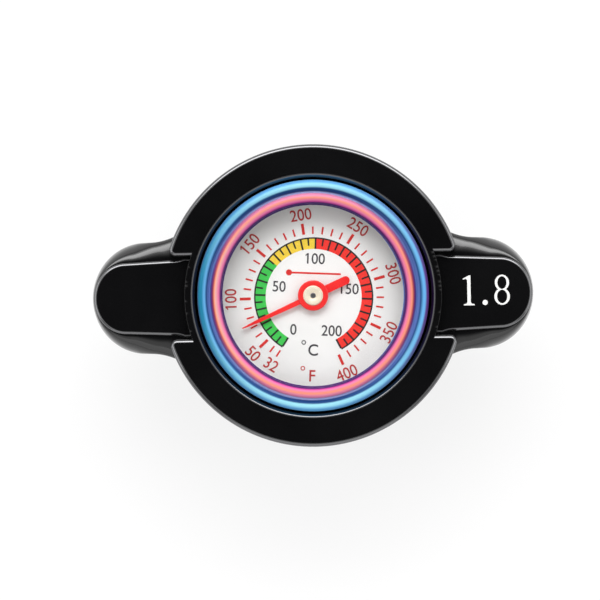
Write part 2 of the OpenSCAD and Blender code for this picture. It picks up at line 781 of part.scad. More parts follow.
// Rubber ring that closes on the neck's lower seat
module valve_seal() {
  lip_room_r = retainer_lip_r + set_gap;
  lip_room_z = retainer_z + retainer_lip_t + set_gap;
  color("#202022")
    rotate_extrude()
      polygon([[retainer_r + set_gap, plate_z], [valve_seal_r, plate_z], [valve_seal_r, valve_low_z],
               [lip_room_r, valve_low_z], [lip_room_r, lip_room_z], [retainer_r + set_gap, lip_room_z]]);
}

// Riveted ring whose lip holds the rubber under the valve plate
module seal_retainer() {
  color("#b2b5b8") {
    ring(retainer_r, hat_in_r + free_gap, retainer_z, plate_z - retainer_z);
    ring(retainer_lip_r, hat_in_r + free_gap, retainer_z, retainer_lip_t);
  }
}

module vacuum_spring_seat() {
  color("#c9a94e")
    ring(vacuum_spring_r + vacuum_wire + free_gap, collar_r, vacuum_seat_z, vacuum_seat_t);
}

vacuum_spring_h = vacuum_disc_z - vacuum_spring_z;
vacuum_turns = turns_that_fit(vacuum_spring_h, vacuum_wire, vacuum_pitch_gap);

module vacuum_spring() {
  color("#c9ccd0")
    wound_bar(vacuum_spring_r, wire_section(vacuum_wire), vacuum_spring_z + vacuum_wire / 2,
              vacuum_disc_z - vacuum_wire / 2, vacuum_turns, spring_rings);
}
echo(vacuum_spring_gap = winding_gap(vacuum_spring_r, vacuum_wire, vacuum_spring_h, vacuum_turns));

module vacuum_disc() {
  color("#c8a951") ring(vacuum_r, vacuum_in_r, vacuum_disc_z, vacuum_disc_t);
}

module vacuum_seal() {
  color("#202022") ring(vacuum_r, vacuum_in_r, vacuum_seal_z, vacuum_seal_t);
}

cap_cover();
bayonet_crown();
crown_screws();
thrust_washer();
case_seal();
gauge_case();
dial_ring();
dial_plate();
lens();
lens_gasket();
bezel();
probe_tube();
shaft_bush();
coil_anchor();
bimetal_coil();
retaining_clip();
pointer();
pointer_hub();
pointer_shaft();
coil_collet();
spring_disc();
neck_gasket();
spring_seat();
stem_o_ring();
pressure_spring();
valve_plate();
valve_seal();
seal_retainer();
vacuum_spring_seat();
vacuum_spring();
vacuum_disc();
vacuum_seal();
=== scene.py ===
# %% [markdown]
# # A radiator cap with a thermometer in its top
#
# The object is a wing cap for a car's radiator. A bimetal thermometer sits in its top, under glass, and
# a stack of seals and springs hangs below. The construction comes ready-made, as a frame of plain
# solids at their real places. This lesson models the pieces again with their round edges, and gives
# each one its finish. Every size is in millimetres and becomes metres at the last moment.

# %% Load the frame
import math

import bpy
from mathutils import Matrix, Vector


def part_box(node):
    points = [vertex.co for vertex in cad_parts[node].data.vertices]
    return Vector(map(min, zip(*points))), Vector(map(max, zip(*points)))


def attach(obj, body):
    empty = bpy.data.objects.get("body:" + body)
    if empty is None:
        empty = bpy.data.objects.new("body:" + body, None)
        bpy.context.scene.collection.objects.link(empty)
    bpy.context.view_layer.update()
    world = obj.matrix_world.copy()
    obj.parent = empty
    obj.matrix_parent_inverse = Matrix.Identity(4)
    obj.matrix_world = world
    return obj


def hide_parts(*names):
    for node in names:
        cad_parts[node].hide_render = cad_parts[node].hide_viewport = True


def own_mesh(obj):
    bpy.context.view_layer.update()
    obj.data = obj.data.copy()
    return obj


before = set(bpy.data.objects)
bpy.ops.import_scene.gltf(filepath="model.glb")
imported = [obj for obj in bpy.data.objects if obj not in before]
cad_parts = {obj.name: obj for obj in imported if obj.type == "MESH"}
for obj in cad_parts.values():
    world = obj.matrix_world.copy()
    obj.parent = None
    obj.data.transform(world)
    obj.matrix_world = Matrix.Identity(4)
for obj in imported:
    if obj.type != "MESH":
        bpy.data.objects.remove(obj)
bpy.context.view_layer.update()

MM = 0.001
scene = bpy.context.scene
scene.view_settings.view_transform = "Standard"


def size_of(node):
    """Radius along X, foot and top of a solid of the frame, in millimetres."""
    low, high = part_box(node)
    return high.x / MM, low.z / MM, high.z / MM


print("solids in the frame:", len(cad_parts))

# %% [markdown]
# ## The camera
#
# The photograph looks straight down on the cap from far away, so the camera hangs high above it with a
# long lens. A long lens keeps the rim and the wings, which lie lower, at nearly one scale. The cap sits
# a little off the middle of the picture and is turned by one degree, so the camera is shifted and
# turned by as much the other way.

# %% Camera
PICTURE = 600
MM_PER_PIXEL = 0.18
CAP_PIXEL = (313.1, 295.5)
CAP_TURN = math.radians(1.0)
CAMERA_HEIGHT = 4000
SENSOR_WIDTH = 36
FAR_CLIP = 100

rim_z = size_of("cap_cover")[2]
off_x = (CAP_PIXEL[0] - PICTURE / 2) * MM_PER_PIXEL
off_y = (PICTURE / 2 - CAP_PIXEL[1]) * MM_PER_PIXEL
camera_place = Matrix.Rotation(-CAP_TURN, 3, "Z") @ Vector((-off_x, -off_y, 0))
camera_place.z = rim_z + CAMERA_HEIGHT

camera = bpy.data.objects.new("camera", bpy.data.cameras.new("camera"))
scene.collection.objects.link(camera)
camera.location = camera_place * MM
camera.rotation_euler = (0, 0, -CAP_TURN)
camera.data.sensor_width = SENSOR_WIDTH
camera.data.lens = SENSOR_WIDTH * CAMERA_HEIGHT / (PICTURE * MM_PER_PIXEL)
camera.data.clip_end = FAR_CLIP
scene.camera = camera
print("lens:", round(camera.data.lens), "mm")

# %% [markdown]
# ## Shader arithmetic
#
# Finishes are built from nodes, and long chains of Math nodes are hard to read. This small class wraps
# one output of a node, so that `0.1 + 0.2 * noise` adds the Math nodes by itself. Everything else goes
# through its `node` method: the settings of the node come first, then what goes into its sockets.

# %% One class for shader wires
class Wire:
    """One output of a shader node. Arithmetic on wires and numbers adds Math nodes."""

    def __init__(self, tree, socket=None):
        self.tree = tree
        self.socket = socket

    def node(self, kind, sockets=None, out=0, stops=(), **settings):
        """Adds a node and gives one of its outputs."""
        made = self.tree.nodes.new("ShaderNode" + kind)
        for name, value in settings.items():
            setattr(made, name, value)
        for count, (place, shade) in enumerate(stops):
            stop = made.color_ramp.elements.new(place) if count > 1 else made.color_ramp.elements[count]
            stop.position = place
            stop.color = shade
        for name, value in (sockets or {}).items():
            if isinstance(value, Wire):
                self.tree.links.new(value.socket, made.inputs[name])
            else:
                made.inputs[name].default_value = value
        return Wire(self.tree, made.outputs[out] if made.outputs else None)

    def math(self, operation, first, second):
        return self.node("Math", {0: first, 1: second}, operation=operation)

    def __add__(self, other):
        return self.math("ADD", self, other)

    def __sub__(self, other):
        return self.math("SUBTRACT", self, other)

    def __rsub__(self, other):
        return self.math("SUBTRACT", other, self)

    def __mul__(self, other):
        return self.math("MULTIPLY", self, other)

    def __truediv__(self, other):
        return self.math("DIVIDE", self, other)

    def __pow__(self, other):
        return self.math("POWER", self, other)

    __radd__ = __add__
    __rmul__ = __mul__


# %% Short names for common nodes
def colour(red, green, blue):
    """A colour as a paint chart gives it, 0 to 255, as the linear values that shaders take."""
    shares = [part / 255 for part in (red, green, blue)]
    return tuple(s / 12.92 if s <= 0.04045 else ((s + 0.055) / 1.055) ** 2.4 for s in shares) + (1.0,)


def grey(share):
    """A colour without tint, for ramps that carry a number."""
    return share, share, share, 1


def ramp(share, *stops):
    """Colours along a share from 0 to 1."""
    return share.node("ValToRGB", {0: share}, stops=stops)


def shades(pattern, dark, light, low=0.3, high=0.7):
    """Two colours as on a paint chart that follow a pattern."""
    return ramp(pattern, (low, colour(*dark)), (high, colour(*light)))


def mixed(share, first, second):
    """Two colours mixed by a share."""
    return share.node("Mix", {0: share, 6: first, 7: second}, out=2, data_type="RGBA")


def noise(place, scale, detail=2.0, roughness=0.5):
    """Soft random spots, so many to a metre."""
    sockets = {"Vector": place, "Scale": scale, "Detail": detail, "Roughness": roughness}
    return place.node("TexNoise", sockets)


def bump(height, depth):
    """A normal that follows a height from 0 to 1, with its full depth in millimetres."""
    return height.node("Bump", {"Height": height, "Strength": 1.0, "Distance": depth * MM})


def coordinate(place, axis):
    """How far a place lies along X, Y or Z, in millimetres."""
    return place.node("SeparateXYZ", {0: place}, out=axis) * (1 / MM)


def polar(place):
    """Distance from the axis and height, both in millimetres."""
    x, y, z = [coordinate(place, axis) for axis in range(3)]
    return (x * x + y * y) ** 0.5, z


def turning_marks(place, per_mm):
    """Fine lines round the axis, as a lathe tool leaves them."""
    distance, height = polar(place)
    track = place.node("CombineXYZ", {0: distance, 1: height})
    return noise(track, per_mm, 3.0, 0.7)


def finish(name, wiring, **constants):
    """A material: constants sit on the shader's sockets, and wiring gives what changes over it."""
    material = bpy.data.materials.new(name)
    material.use_nodes = True
    tree = material.node_tree
    shader = tree.nodes["Principled BSDF"]
    for socket, value in constants.items():
        shader.inputs[socket.replace("_", " ")].default_value = value
    place = Wire(tree).node("TexCoord", out=3)
    for socket, wire in wiring(place).items():
        tree.links.new(wire.socket, shader.inputs[socket])
    print("finish:", name)
    return material


print("shader tools ready")

# %% [markdown]
# ## The floor and the light
#
# The photograph shows the cap on plain white, lit from a tent of white cloth with a small opening for
# the camera. Flat black lacquer mirrors that dark opening and stays black, while every round edge
# mirrors a lamp as a thin line. So the world is a pale tent with a dark spot overhead, and four soft
# boxes stand round the cap. The box behind the cap, at the top of the picture, is the strongest one,
# and the cloth round it glows.

# %% Floor
FLOOR_SIZE = 12
FLOOR_SEEN = 0.78

floor_z = size_of("valve_seal")[1]
bpy.ops.object.select_all(action="DESELECT")
bpy.ops.mesh.primitive_plane_add(size=FLOOR_SIZE, location=(0, 0, floor_z * MM))
floor = bpy.context.object
floor.name = "floor"
floor_paint = bpy.data.materials.new("floor_paint")
floor_paint.use_nodes = True
floor_paint.node_tree.nodes.clear()
sheet = Wire(floor_paint.node_tree)
rays = [sheet.node("LightPath", out=f"Is {kind} Ray") for kind in ("Camera", "Glossy", "Transmission")]
matt = sheet.node("BsdfDiffuse", {"Color": grey(0.9)})
white = sheet.node("Emission", {"Color": grey(1), "Strength": 1.0})
paint = sheet.node("MixShader", {0: (rays[0] + rays[1] + rays[2]) * FLOOR_SEEN, 1: matt, 2: white})
paint.node("OutputMaterial", {"Surface": paint})
floor.data.materials.append(floor_paint)
print("floor at", round(floor_z, 2), "mm")

# %% Tent and soft boxes
HORIZON = 0.95
TENT = 0.4
CEILING = 0.75
OPENING = 0.012
GLOW = 3.3
CLOTH_LEVELS = (
    (0.0, HORIZON), (0.1, HORIZON), (0.25, TENT), (0.55, TENT), (0.75, CEILING), (0.9, CEILING),
    (0.975, OPENING))

world = bpy.data.worlds.new("tent")
world.use_nodes = True
scene.world = world
cloth = Wire(world.node_tree)
look = cloth.node("TexCoord", out=0)
back, up = [look.node("SeparateXYZ", {0: look}, out=axis) for axis in (1, 2)]
fade = ramp(up, *[(height, grey(light)) for height, light in CLOTH_LEVELS])
glow_back = ramp(back, (0.35, grey(0)), (0.8, grey(1)))
glow_high = ramp(up, (0.25, grey(0)), (0.5, grey(1)), (0.72, grey(1)), (0.95, grey(0)))
glow = glow_back * glow_high * GLOW
tent_light = fade.node("Mix", {0: 1.0, 6: fade, 7: glow}, out=2, data_type="RGBA", blend_type="ADD")
world.node_tree.links.new(tent_light.socket, world.node_tree.nodes["Background"].inputs["Color"])


def soft_box(name, place, width, height, watts):
    """A rectangular lamp that looks at the cap."""
    lamp = bpy.data.objects.new(name, bpy.data.lights.new(name, "AREA"))
    lamp.data.shape = "RECTANGLE"
    lamp.data.size = width
    lamp.data.size_y = height
    lamp.data.energy = watts
    lamp.location = place
    lamp.rotation_euler = Vector(place).to_track_quat("Z", "Y").to_euler()
    lamp.visible_camera = False
    scene.collection.objects.link(lamp)


soft_box("box_behind", (0, 0.62, 0.6), 1.1, 0.4, 3.9)
soft_box("box_left", (-0.7, 0, 0.4), 0.8, 0.4, 1.8)
soft_box("box_right", (0.7, 0, 0.4), 0.8, 0.4, 1.5)
soft_box("box_front", (0, -0.7, 0.4), 1.0, 0.5, 1.2)
print("lamps:", len(bpy.data.lights))

# %% [markdown]
# ## Tools for shaping
#
# Most pieces of the cap are turned or pressed round, so the main tool is a small lathe: a ring of
# points is bent into the piece's section and spun round the axis. Corners are rounded in the section
# itself, so each edge has a true fillet. Flat pieces are outlines that are filled and extruded. One
# helper selects points of a mesh by their place, because a script has no mouse.

# %% Selecting and finishing
SAME_PLACE = 0.0005
SAME_LEVEL = 0.0001
SHARP_ANGLE = 50


def select_only(piece):
    """Selects one object and makes it the active one."""
    bpy.ops.object.select_all(action="DESELECT")
    piece.select_set(True)
    bpy.context.view_layer.objects.active = piece


def edit_points(piece, rule=lambda place: True):
    """Opens edit mode with the points selected whose place, in millimetres, a rule accepts."""
    select_only(piece)
    bpy.context.tool_settings.mesh_select_mode = (True, False, False)
    bpy.ops.object.mode_set(mode="EDIT")
    bpy.ops.mesh.select_all(action="DESELECT")
    bpy.ops.object.mode_set(mode="OBJECT")
    for point in piece.data.vertices:
        point.select = rule(point.co / MM)
    bpy.ops.object.mode_set(mode="EDIT")


def tidy(piece):
    """Merges doubles, drops loose bits and turns all faces outwards."""
    edit_points(piece)
    bpy.ops.mesh.remove_doubles(threshold=SAME_PLACE * MM)
    bpy.ops.mesh.delete_loose()
    bpy.ops.mesh.select_all(action="SELECT")
    bpy.ops.mesh.normals_make_consistent(inside=False)
    bpy.ops.object.mode_set(mode="OBJECT")


def close_end(piece, axis, level):
    """Fills the open edge that lies at one level along an axis."""
    edit_points(piece, lambda place: abs(place[axis] - level) < SAME_LEVEL)
    bpy.ops.mesh.edge_face_add()
    bpy.ops.object.mode_set(mode="OBJECT")


def apply_modifier(piece, kind, **settings):
    """Adds a modifier with its settings and applies it."""
    modifier = piece.modifiers.new(kind.lower(), kind)
    for name, value in settings.items():
        setattr(modifier, name, value)
    select_only(piece)
    bpy.ops.object.modifier_apply(modifier=modifier.name)


def combine(piece, operation, *others):
    """Joins other solids to a piece or cuts them out of it."""
    for other in others:
        apply_modifier(piece, "BOOLEAN", operation=operation, object=other, solver="EXACT")
        bpy.data.objects.remove(other)


def soften(piece, width, segments):
    """Bevels the sharp edges by a width in millimetres."""
    limits = {"limit_method": "ANGLE", "angle_limit": math.radians(SHARP_ANGLE)}
    apply_modifier(piece, "BEVEL", width=width * MM, segments=segments, **limits)


def smooth(piece, angle=40):
    """Smooth shading over gentle edges, led by the large faces."""
    select_only(piece)
    bpy.ops.object.shade_smooth_by_angle(angle=math.radians(angle))
    apply_modifier(piece, "WEIGHTED_NORMAL", keep_sharp=True)


def settle(piece, material, body, slot, *nodes):
    """Gives a finished piece its material, its body and the solids it stands for. Its slot is not used."""
    piece.data.materials.clear()
    piece.data.materials.append(material)
    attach(piece, body)
    if nodes:
        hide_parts(*nodes)
    print(f"{piece.name}: {len(piece.data.polygons)} faces on {body}")


# %% The lathe and the outline cutter
ARC_STEPS = 6


def rounded(corners):
    """Points of a closed outline. Each corner is (x, y) or (x, y, radius), and a radius becomes an arc."""
    points = []
    for index, corner in enumerate(corners):
        here = Vector(corner[:2])
        if len(corner) == 2:
            points.append(here)
            continue
        back = (Vector(corners[index - 1][:2]) - here).normalized()
        ahead = (Vector(corners[(index + 1) % len(corners)][:2]) - here).normalized()
        half = back.angle(ahead) / 2
        centre = here + (back + ahead).normalized() * corner[2] / math.sin(half)
        arm = here + back * corner[2] / math.tan(half) - centre
        sweep = math.copysign(math.pi - 2 * half, ahead.cross(back))
        points += [centre + Matrix.Rotation(sweep * i / ARC_STEPS, 2) @ arm for i in range(ARC_STEPS + 1)]
    return points


def ring_of_points(name, count, fill):
    """A new ring of points, the start of an outline."""
    bpy.ops.object.select_all(action="DESELECT")
    bpy.ops.mesh.primitive_circle_add(vertices=count, fill_type=fill)
    bpy.context.object.name = name
    return bpy.context.object


def turned(name, corners, segments=160, start=0, sweep=360):
    """A piece turned from a section of (radius, height) corners, or a slice of it."""
    section = rounded(corners)
    piece = ring_of_points(name, len(section), "NOTHING" if sweep == 360 else "NGON")
    for point, (radius, height) in zip(piece.data.vertices, section):
        point.co = Matrix.Rotation(math.radians(start), 3, "Z") @ Vector((radius, 0, height)) * MM
    edit_points(piece)
    bpy.ops.mesh.spin(steps=segments, angle=math.radians(sweep), center=(0, 0, 0), axis=(0, 0, 1))
    bpy.ops.object.mode_set(mode="OBJECT")
    tidy(piece)
    return piece


def prism(name, outline, foot, top):
    """A flat piece: an outline filled and extruded from its foot to its top."""
    piece = ring_of_points(name, len(outline), "NGON")
    for point, (x, y) in zip(piece.data.vertices, outline):
        point.co = Vector((x, y, foot)) * MM
    edit_points(piece)
    bpy.ops.mesh.extrude_region_move(TRANSFORM_OT_translate={"value": (0, 0, (top - foot) * MM)})
    bpy.ops.object.mode_set(mode="OBJECT")
    tidy(piece)
    return piece


# %% Arcs, mirrored halves and turned copies
CUT_OVER = 1


def arc(radius, start, end, steps, centre=(0, 0)):
    """Points along an arc, in degrees."""
    angles = [math.radians(start + (end - start) * i / steps) for i in range(steps + 1)]
    return [(centre[0] + radius * math.cos(a), centre[1] + radius * math.sin(a)) for a in angles]


def circle(radius, sides, centre=(0, 0), start=0):
    """Points all the way round."""
    return arc(radius, start, start + 360 - 360 / sides, sides - 1, centre)


def at_angle(radius, degrees):
    """The point at a radius and an angle."""
    return arc(radius, degrees, degrees, 1)[0]


def mirrored(side):
    """The other half of an outline, run back from its end."""
    return [(x, -y) for x, y in reversed(side)]


def turn_copy(piece, degrees):
    """A copy with its own mesh, turned about the axis."""
    copy = piece.copy()
    copy.data = piece.data.copy()
    copy.data.transform(Matrix.Rotation(math.radians(degrees), 4, "Z"))
    scene.collection.objects.link(copy)
    return copy


print("tools ready")

# %% [markdown]
# ## The black cover
#
# The cover is one casting: a barrel with a flat rim, a notch on each side, and a wing that leaves
# through each notch. The barrel is turned with its fillets, and two notch shapes with the same fillet
# are cut out of it. The wing is a raised flat on a rounded body. It is made as a strip that follows an
# outline round the tip, row by row outwards: the edge of the flat, then a shoulder that rolls over into
# an upright wall. A grid folded over those rows gives exactly that, where a box with bevels could not
# change its shoulder from the cover to the tip.

# %% Outline of a notch
RIM_ROUND = 0.7
NOTCH_HALF = 7.5
NOTCH_R = 23.2
NOTCH_DEPTH = 4.8
NOTCH_ROUND = 1.2
INNER_EDGE = 0.12
CORNER_OUT = 0.03
FILLET_LIFT = 0.01
BARREL_SIDES = 160
NOTCH_STEPS = 24
MOUTH_STEPS = 12
FILLET_STEPS = 8
MOUTH_REACH = 1.2
RECESS_R = 21.3
RECESS_DEPTH = 6.6
MOUTH_ROUND = 0.8

span, cover_foot, _ = size_of("cap_cover")
cover_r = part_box("cap_cover")[1].y / MM
recess_floor = rim_z - RECESS_DEPTH


def quarter(steps):
    """Sine and cosine along a quarter turn."""
    angles = [math.pi / 2 * i / steps for i in range(steps + 1)]
    return [(math.sin(a), math.cos(a)) for a in angles]


def notch_outline(grow):
    """Outline of a notch: a curved inner end, straight walls and mouth corners that run into the barrel."""
    end = NOTCH_R - grow * INNER_EDGE / RIM_ROUND
    wall = NOTCH_HALF + grow
    away = NOTCH_HALF + NOTCH_ROUND
    corner = (math.sqrt((cover_r + CORNER_OUT - NOTCH_ROUND) ** 2 - away ** 2), away)
    lean = math.degrees(math.atan2(corner[1], corner[0]))
    inner = math.degrees(math.asin(wall / end))
    mouth = arc(NOTCH_ROUND - grow, -90, lean, MOUTH_STEPS, corner)
    side = mouth + [at_angle(MOUTH_REACH * cover_r, lean)]
    return arc(end, -inner, inner, NOTCH_STEPS) + side + mirrored(side)


print("cover:", round(cover_r, 2), "mm to the barrel,", round(span, 2), "mm to the wing tips")

# %% Folding a grid
def folded(name, across, along, place):
    """A grid whose points go where place(column, row) says."""
    bpy.ops.object.select_all(action="DESELECT")
    bpy.ops.mesh.primitive_grid_add(x_subdivisions=across, y_subdivisions=along, size=2)
    piece = bpy.context.object
    piece.name = name
    for point in piece.data.vertices:
        column = round((point.co.x + 1) / 2 * across)
        row = round((point.co.y + 1) / 2 * along)
        point.co = Vector(place(column, row)) * MM
    return piece


def stack(name, levels):
    """A solid through outlines of equal count, each at its height."""
    heights, outlines = zip(*levels)
    piece = folded(
        name, len(outlines[0]), len(levels) - 1,
        lambda column, row: (*outlines[row][column % len(outlines[0])], heights[row]))
    tidy(piece)
    for height in (heights[0], heights[-1]):
        close_end(piece, 2, height)
    tidy(piece)
    return piece


# %% Barrel with its notches
cover = turned("cover", [
    (0, cover_foot), (cover_r, cover_foot, RIM_ROUND), (cover_r, rim_z, RIM_ROUND),
    (RECESS_R, rim_z, MOUTH_ROUND), (RECESS_R, recess_floor, 0.3), (0, recess_floor)], BARREL_SIDES)
notch_levels = [(rim_z - NOTCH_DEPTH, notch_outline(0))]
for rise, run in quarter(FILLET_STEPS):
    height = rim_z + FILLET_LIFT - RIM_ROUND * (1 - rise)
    notch_levels.append((height, notch_outline(RIM_ROUND * (1 - run))))
notch_levels.append((rim_z + CUT_OVER, notch_levels[-1][1]))
notch = stack("notch", notch_levels)
combine(cover, "DIFFERENCE", turn_copy(notch, 180), notch)
print("barrel:", len(cover.data.polygons), "faces")

# %% Outlines of a wing
WING_DROP = 1.8
WING_H = 12.2
TOP_HALF = 6.4
FOOT_HALF = 10.0
EDGE_ROUND = 0.55
SHOULDER_DEPTH = (1.8, 5.0)
SHOULDER_GROWTH = 0.12
EDGE_STEPS = 8
SHOULDER_STEPS = 28
FOOT_STEPS = 5
FLARE_STEPS = 8
STRAIGHT_STEPS = 12
TIP_STEPS = 28
FOOT_ROUND = 0.4
TAPER = math.tan(math.radians(2.6))
TOP_END = 5.8
TOP_RAKE = 0.2
TOP_FLARE = (2.0, 0.4)
FOOT_FLARE = (4.4, 0.95)
FOOT_STRAIGHT = 0.8
WING_ROOT = 21.9

wing_top = rim_z - WING_DROP
wing_foot = wing_top - WING_H
top_waist = NOTCH_R + TOP_FLARE[0]
foot_waist = math.sqrt(cover_r ** 2 - (FOOT_HALF + FOOT_FLARE[1]) ** 2) + FOOT_FLARE[0]
foot_end = span - foot_waist - FOOT_STRAIGHT


def shoulder_depth(reach):
    """How far the shoulder falls: little beside the cover, and more and more towards the tip."""
    return min(SHOULDER_DEPTH[0] + SHOULDER_GROWTH * max(reach - cover_r, 0) ** 2, SHOULDER_DEPTH[1])


def flank_rows():
    """Rows down a wing as half width, depth and share of the shoulder's fall: edge, shoulder and foot."""
    low = wing_top - wing_foot
    width = FOOT_HALF - TOP_HALF
    edge = [(TOP_HALF - EDGE_ROUND * (1 - s), EDGE_ROUND * (1 - c), 0) for s, c in quarter(EDGE_STEPS)]
    shoulder = [(TOP_HALF + width * s, EDGE_ROUND, 1 - c) for s, c in quarter(SHOULDER_STEPS)[1:]]
    foot = [
        (FOOT_HALF - FOOT_ROUND * (1 - c), low - FOOT_ROUND * (1 - s), 0) for s, c in quarter(FOOT_STEPS)]
    return edge + shoulder + foot


def blend_of(first, second, share):
    return first + (second - first) * share


def wing_outline(half):
    """Outline of a wing at a half width: it widens into the cover, tapers outwards and ends round."""
    width_share = (half - TOP_HALF) / (FOOT_HALF - TOP_HALF)
    low = max(width_share, 0)
    tip = span - TOP_RAKE * (1 - low) + min(half - TOP_HALF, 0)
    end = blend_of(TOP_END, foot_end, width_share)
    waist = blend_of(top_waist, foot_waist, low)
    waist_half = half + (tip - end - waist) * TAPER
    flare_l = blend_of(TOP_FLARE[0], FOOT_FLARE[0], low)
    flare_w = blend_of(TOP_FLARE[1], FOOT_FLARE[1], low)
    side = [(WING_ROOT, waist_half + flare_w)]
    flare = [1 - i / FLARE_STEPS for i in range(FLARE_STEPS + 1)]
    side += [(waist - flare_l * rest, waist_half + flare_w * rest ** 2) for rest in flare]
    straight = [i / STRAIGHT_STEPS for i in range(1, STRAIGHT_STEPS)]
    side += [(blend_of(waist, tip - end, share), blend_of(waist_half, half, share)) for share in straight]
    side += [(tip - end + end * s, half * c) for s, c in quarter(TIP_STEPS)]
    return side + mirrored(side[:-1])


rows = flank_rows()
print("rows down a wing:", len(rows))

# %% Wings
outlines = [wing_outline(half) for half, _, _ in rows]


def wing_point(column, row):
    _, depth, fall = rows[row]
    x, y = outlines[row][column]
    return x, y, wing_top - depth - fall * shoulder_depth(x)


wing = folded("wing", len(outlines[0]) - 1, len(rows) - 1, wing_point)
close_end(wing, 2, wing_top)
close_end(wing, 2, wing_foot)
close_end(wing, 0, WING_ROOT)
tidy(wing)
combine(cover, "UNION", turn_copy(wing, 180), wing)
print("cover with wings:", len(cover.data.polygons), "faces")

# %% Bores and pockets
WALL = 2.2
CROWN_BORE_R = 23.8
WEB_T = 3.0
PROBE_BORE_R = 4.1
POCKET_ROUND = 1.2
END_FLAT = 0.01

web_foot = recess_floor - WEB_T
bore_start = cover_foot - CUT_OVER
crown_bore = turned("crown_bore", [
    (0, bore_start), (CROWN_BORE_R, bore_start), (CROWN_BORE_R, web_foot, 0.5), (0, web_foot)])
probe_start = web_foot - CUT_OVER
probe_bore = turned("probe_bore", [
    (0, probe_start), (PROBE_BORE_R, probe_start), (PROBE_BORE_R, rim_z), (0, rim_z)], 64)
pocket_half = TOP_HALF - WALL
pocket_start = cover_r + WALL
pocket_end = span - WALL
round_end = pocket_half - END_FLAT
pocket_outline = rounded([
    (pocket_start, pocket_half, POCKET_ROUND), (pocket_start, -pocket_half, POCKET_ROUND),
    (pocket_end, -pocket_half, round_end), (pocket_end, pocket_half, round_end)])
pocket = prism("pocket", pocket_outline, wing_foot - CUT_OVER, wing_top - WALL)
combine(cover, "DIFFERENCE", crown_bore, probe_bore, turn_copy(pocket, 180), pocket)
tidy(cover)
smooth(cover, 30)
print("hollowed cover:", len(cover.data.polygons), "faces")

# %% [markdown]
# ### Black lacquer
#
# The casting has a deep black gloss coat. A single black would look like a hole in the picture, so its
# shade drifts a little, its gloss has faint smears where hands and cloths went, and a very shallow
# ripple stands for the orange peel of sprayed lacquer. The round edges carry a painted highlight: a
# lighter grey that mirrors like metal, so they shine more than the flats. A mask finds them by their
# height: a little below the rim, and a little below the top of the wings.

# %% Lacquer
# Painted highlight on the round edges: a lighter grey is mixed in, and the coat is made metallic there.
EDGE_HIGHLIGHT_GREY = (0.17, 0.17, 0.175, 1)
HIGHLIGHT_FROM = 0.004


def rubbed_edge(drop, depth):
    """Painted highlight: one just below a flat face, down to a depth in millimetres, and nought elsewhere.
    """
    start = HIGHLIGHT_FROM / depth
    return ramp(drop / depth, (start, grey(0)), (start * 3, grey(1)), (0.6, grey(1)), (1.0, grey(0)))


def lacquer(place):
    smear = noise(place, 55.0, 4.0, 0.6)
    ripple = noise(place, 520.0)
    speck = noise(place, 2600.0)
    shade = shades(smear, (7, 7, 8), (12, 12, 13), high=0.75)
    y, z = [coordinate(place, axis) for axis in (1, 2)]
    on_wing = place.math("LESS_THAN", y * y, NOTCH_HALF ** 2)
    # The painted highlight covers the fillet under the rim and the top edges of the wings.
    painted_highlight = rubbed_edge(rim_z - z, RIM_ROUND) + on_wing * rubbed_edge(wing_top - z, EDGE_ROUND)
    return {
        "Base Color": mixed(painted_highlight, shade, EDGE_HIGHLIGHT_GREY),
        "Metallic": painted_highlight,
        "Roughness": 0.1 + 0.07 * smear + 0.02 * speck,
        "Normal": bump(ripple, 0.0012),
    }


black_lacquer = finish("black_lacquer", lacquer, IOR=1.65)
settle(cover, black_lacquer, "cap_body", "black_lacquer", "cap_cover")

# %% [markdown]
# ## The rating on the wing
#
# The right wing carries the cap's pressure rating in white paint, in figures with thick and thin
# strokes. Blender's own font has even strokes, so the figures are drawn here: the one as an outline,
# the eight as ovals that are joined and then pierced. They stand a hair above the lacquer, as thick
# paint does.

# %% Painted figures
PAINT_LIFT = 0.06
PAINT_SINK = 0.03
RATING_PLACE = (31.2, 0.44)
FIGURE_H = 5.4
POINT_R = 0.47
POINT_X = -0.23
EIGHT_X = 2.84
OVAL_SIDES = 64

paint_foot = wing_top - PAINT_SINK
paint_top = wing_top + PAINT_LIFT
lower_loop = (EIGHT_X, 1.5 - FIGURE_H / 2)
upper_loop = (EIGHT_X, FIGURE_H / 2 - 1.4)


def oval(name, half_w, half_h, centre, over=0.0):
    """An elliptic slab at paint height."""
    outline = [(centre[0] + half_w * c, centre[1] + half_h * s) for c, s in circle(1, OVAL_SIDES)]
    return prism(name, outline, paint_foot - over, paint_top + over)


one = prism("one", [
    (-4.06, -2.7), (-2.13, -2.7), (-2.13, -2.48), (-2.6, -2.4), (-2.82, -2.15), (-2.82, 2.7), (-3.05, 2.7),
    (-4.2, 2.15), (-4.2, 1.95), (-3.65, 2.08), (-3.42, 1.85), (-3.42, -2.15), (-3.64, -2.4), (-4.06, -2.48)],
    paint_foot, paint_top)
point = oval("point", POINT_R, POINT_R, (POINT_X, POINT_R - FIGURE_H / 2))
eight = oval("eight", 1.4, 1.5, lower_loop)
combine(eight, "UNION", oval("upper", 1.28, 1.42, upper_loop))
combine(
    eight, "DIFFERENCE",
    oval("lower_eye", 0.92, 1.22, lower_loop, 0.1), oval("upper_eye", 0.82, 1.14, upper_loop, 0.1))


def joined(name, parts):
    """Several meshes as one piece."""
    select_only(parts[0])
    for part in parts:
        part.select_set(True)
    bpy.ops.object.join()
    parts[0].name = name
    return parts[0]


rating = joined("rating_paint", [one, point, eight])
rating.data.transform(Matrix.Translation((RATING_PLACE[0] * MM, RATING_PLACE[1] * MM, 0)))
tidy(rating)


def white_enamel(place):
    grain = noise(place, 1800.0)
    return {
        "Base Color": shades(grain, (216, 216, 214), (232, 232, 230)),
        "Roughness": 0.35 + 0.2 * grain,
        "Normal": bump(grain, 0.004),
    }


white_paint = finish("white_paint", white_enamel)
settle(rating, white_paint, "cap_body", "white_dial")
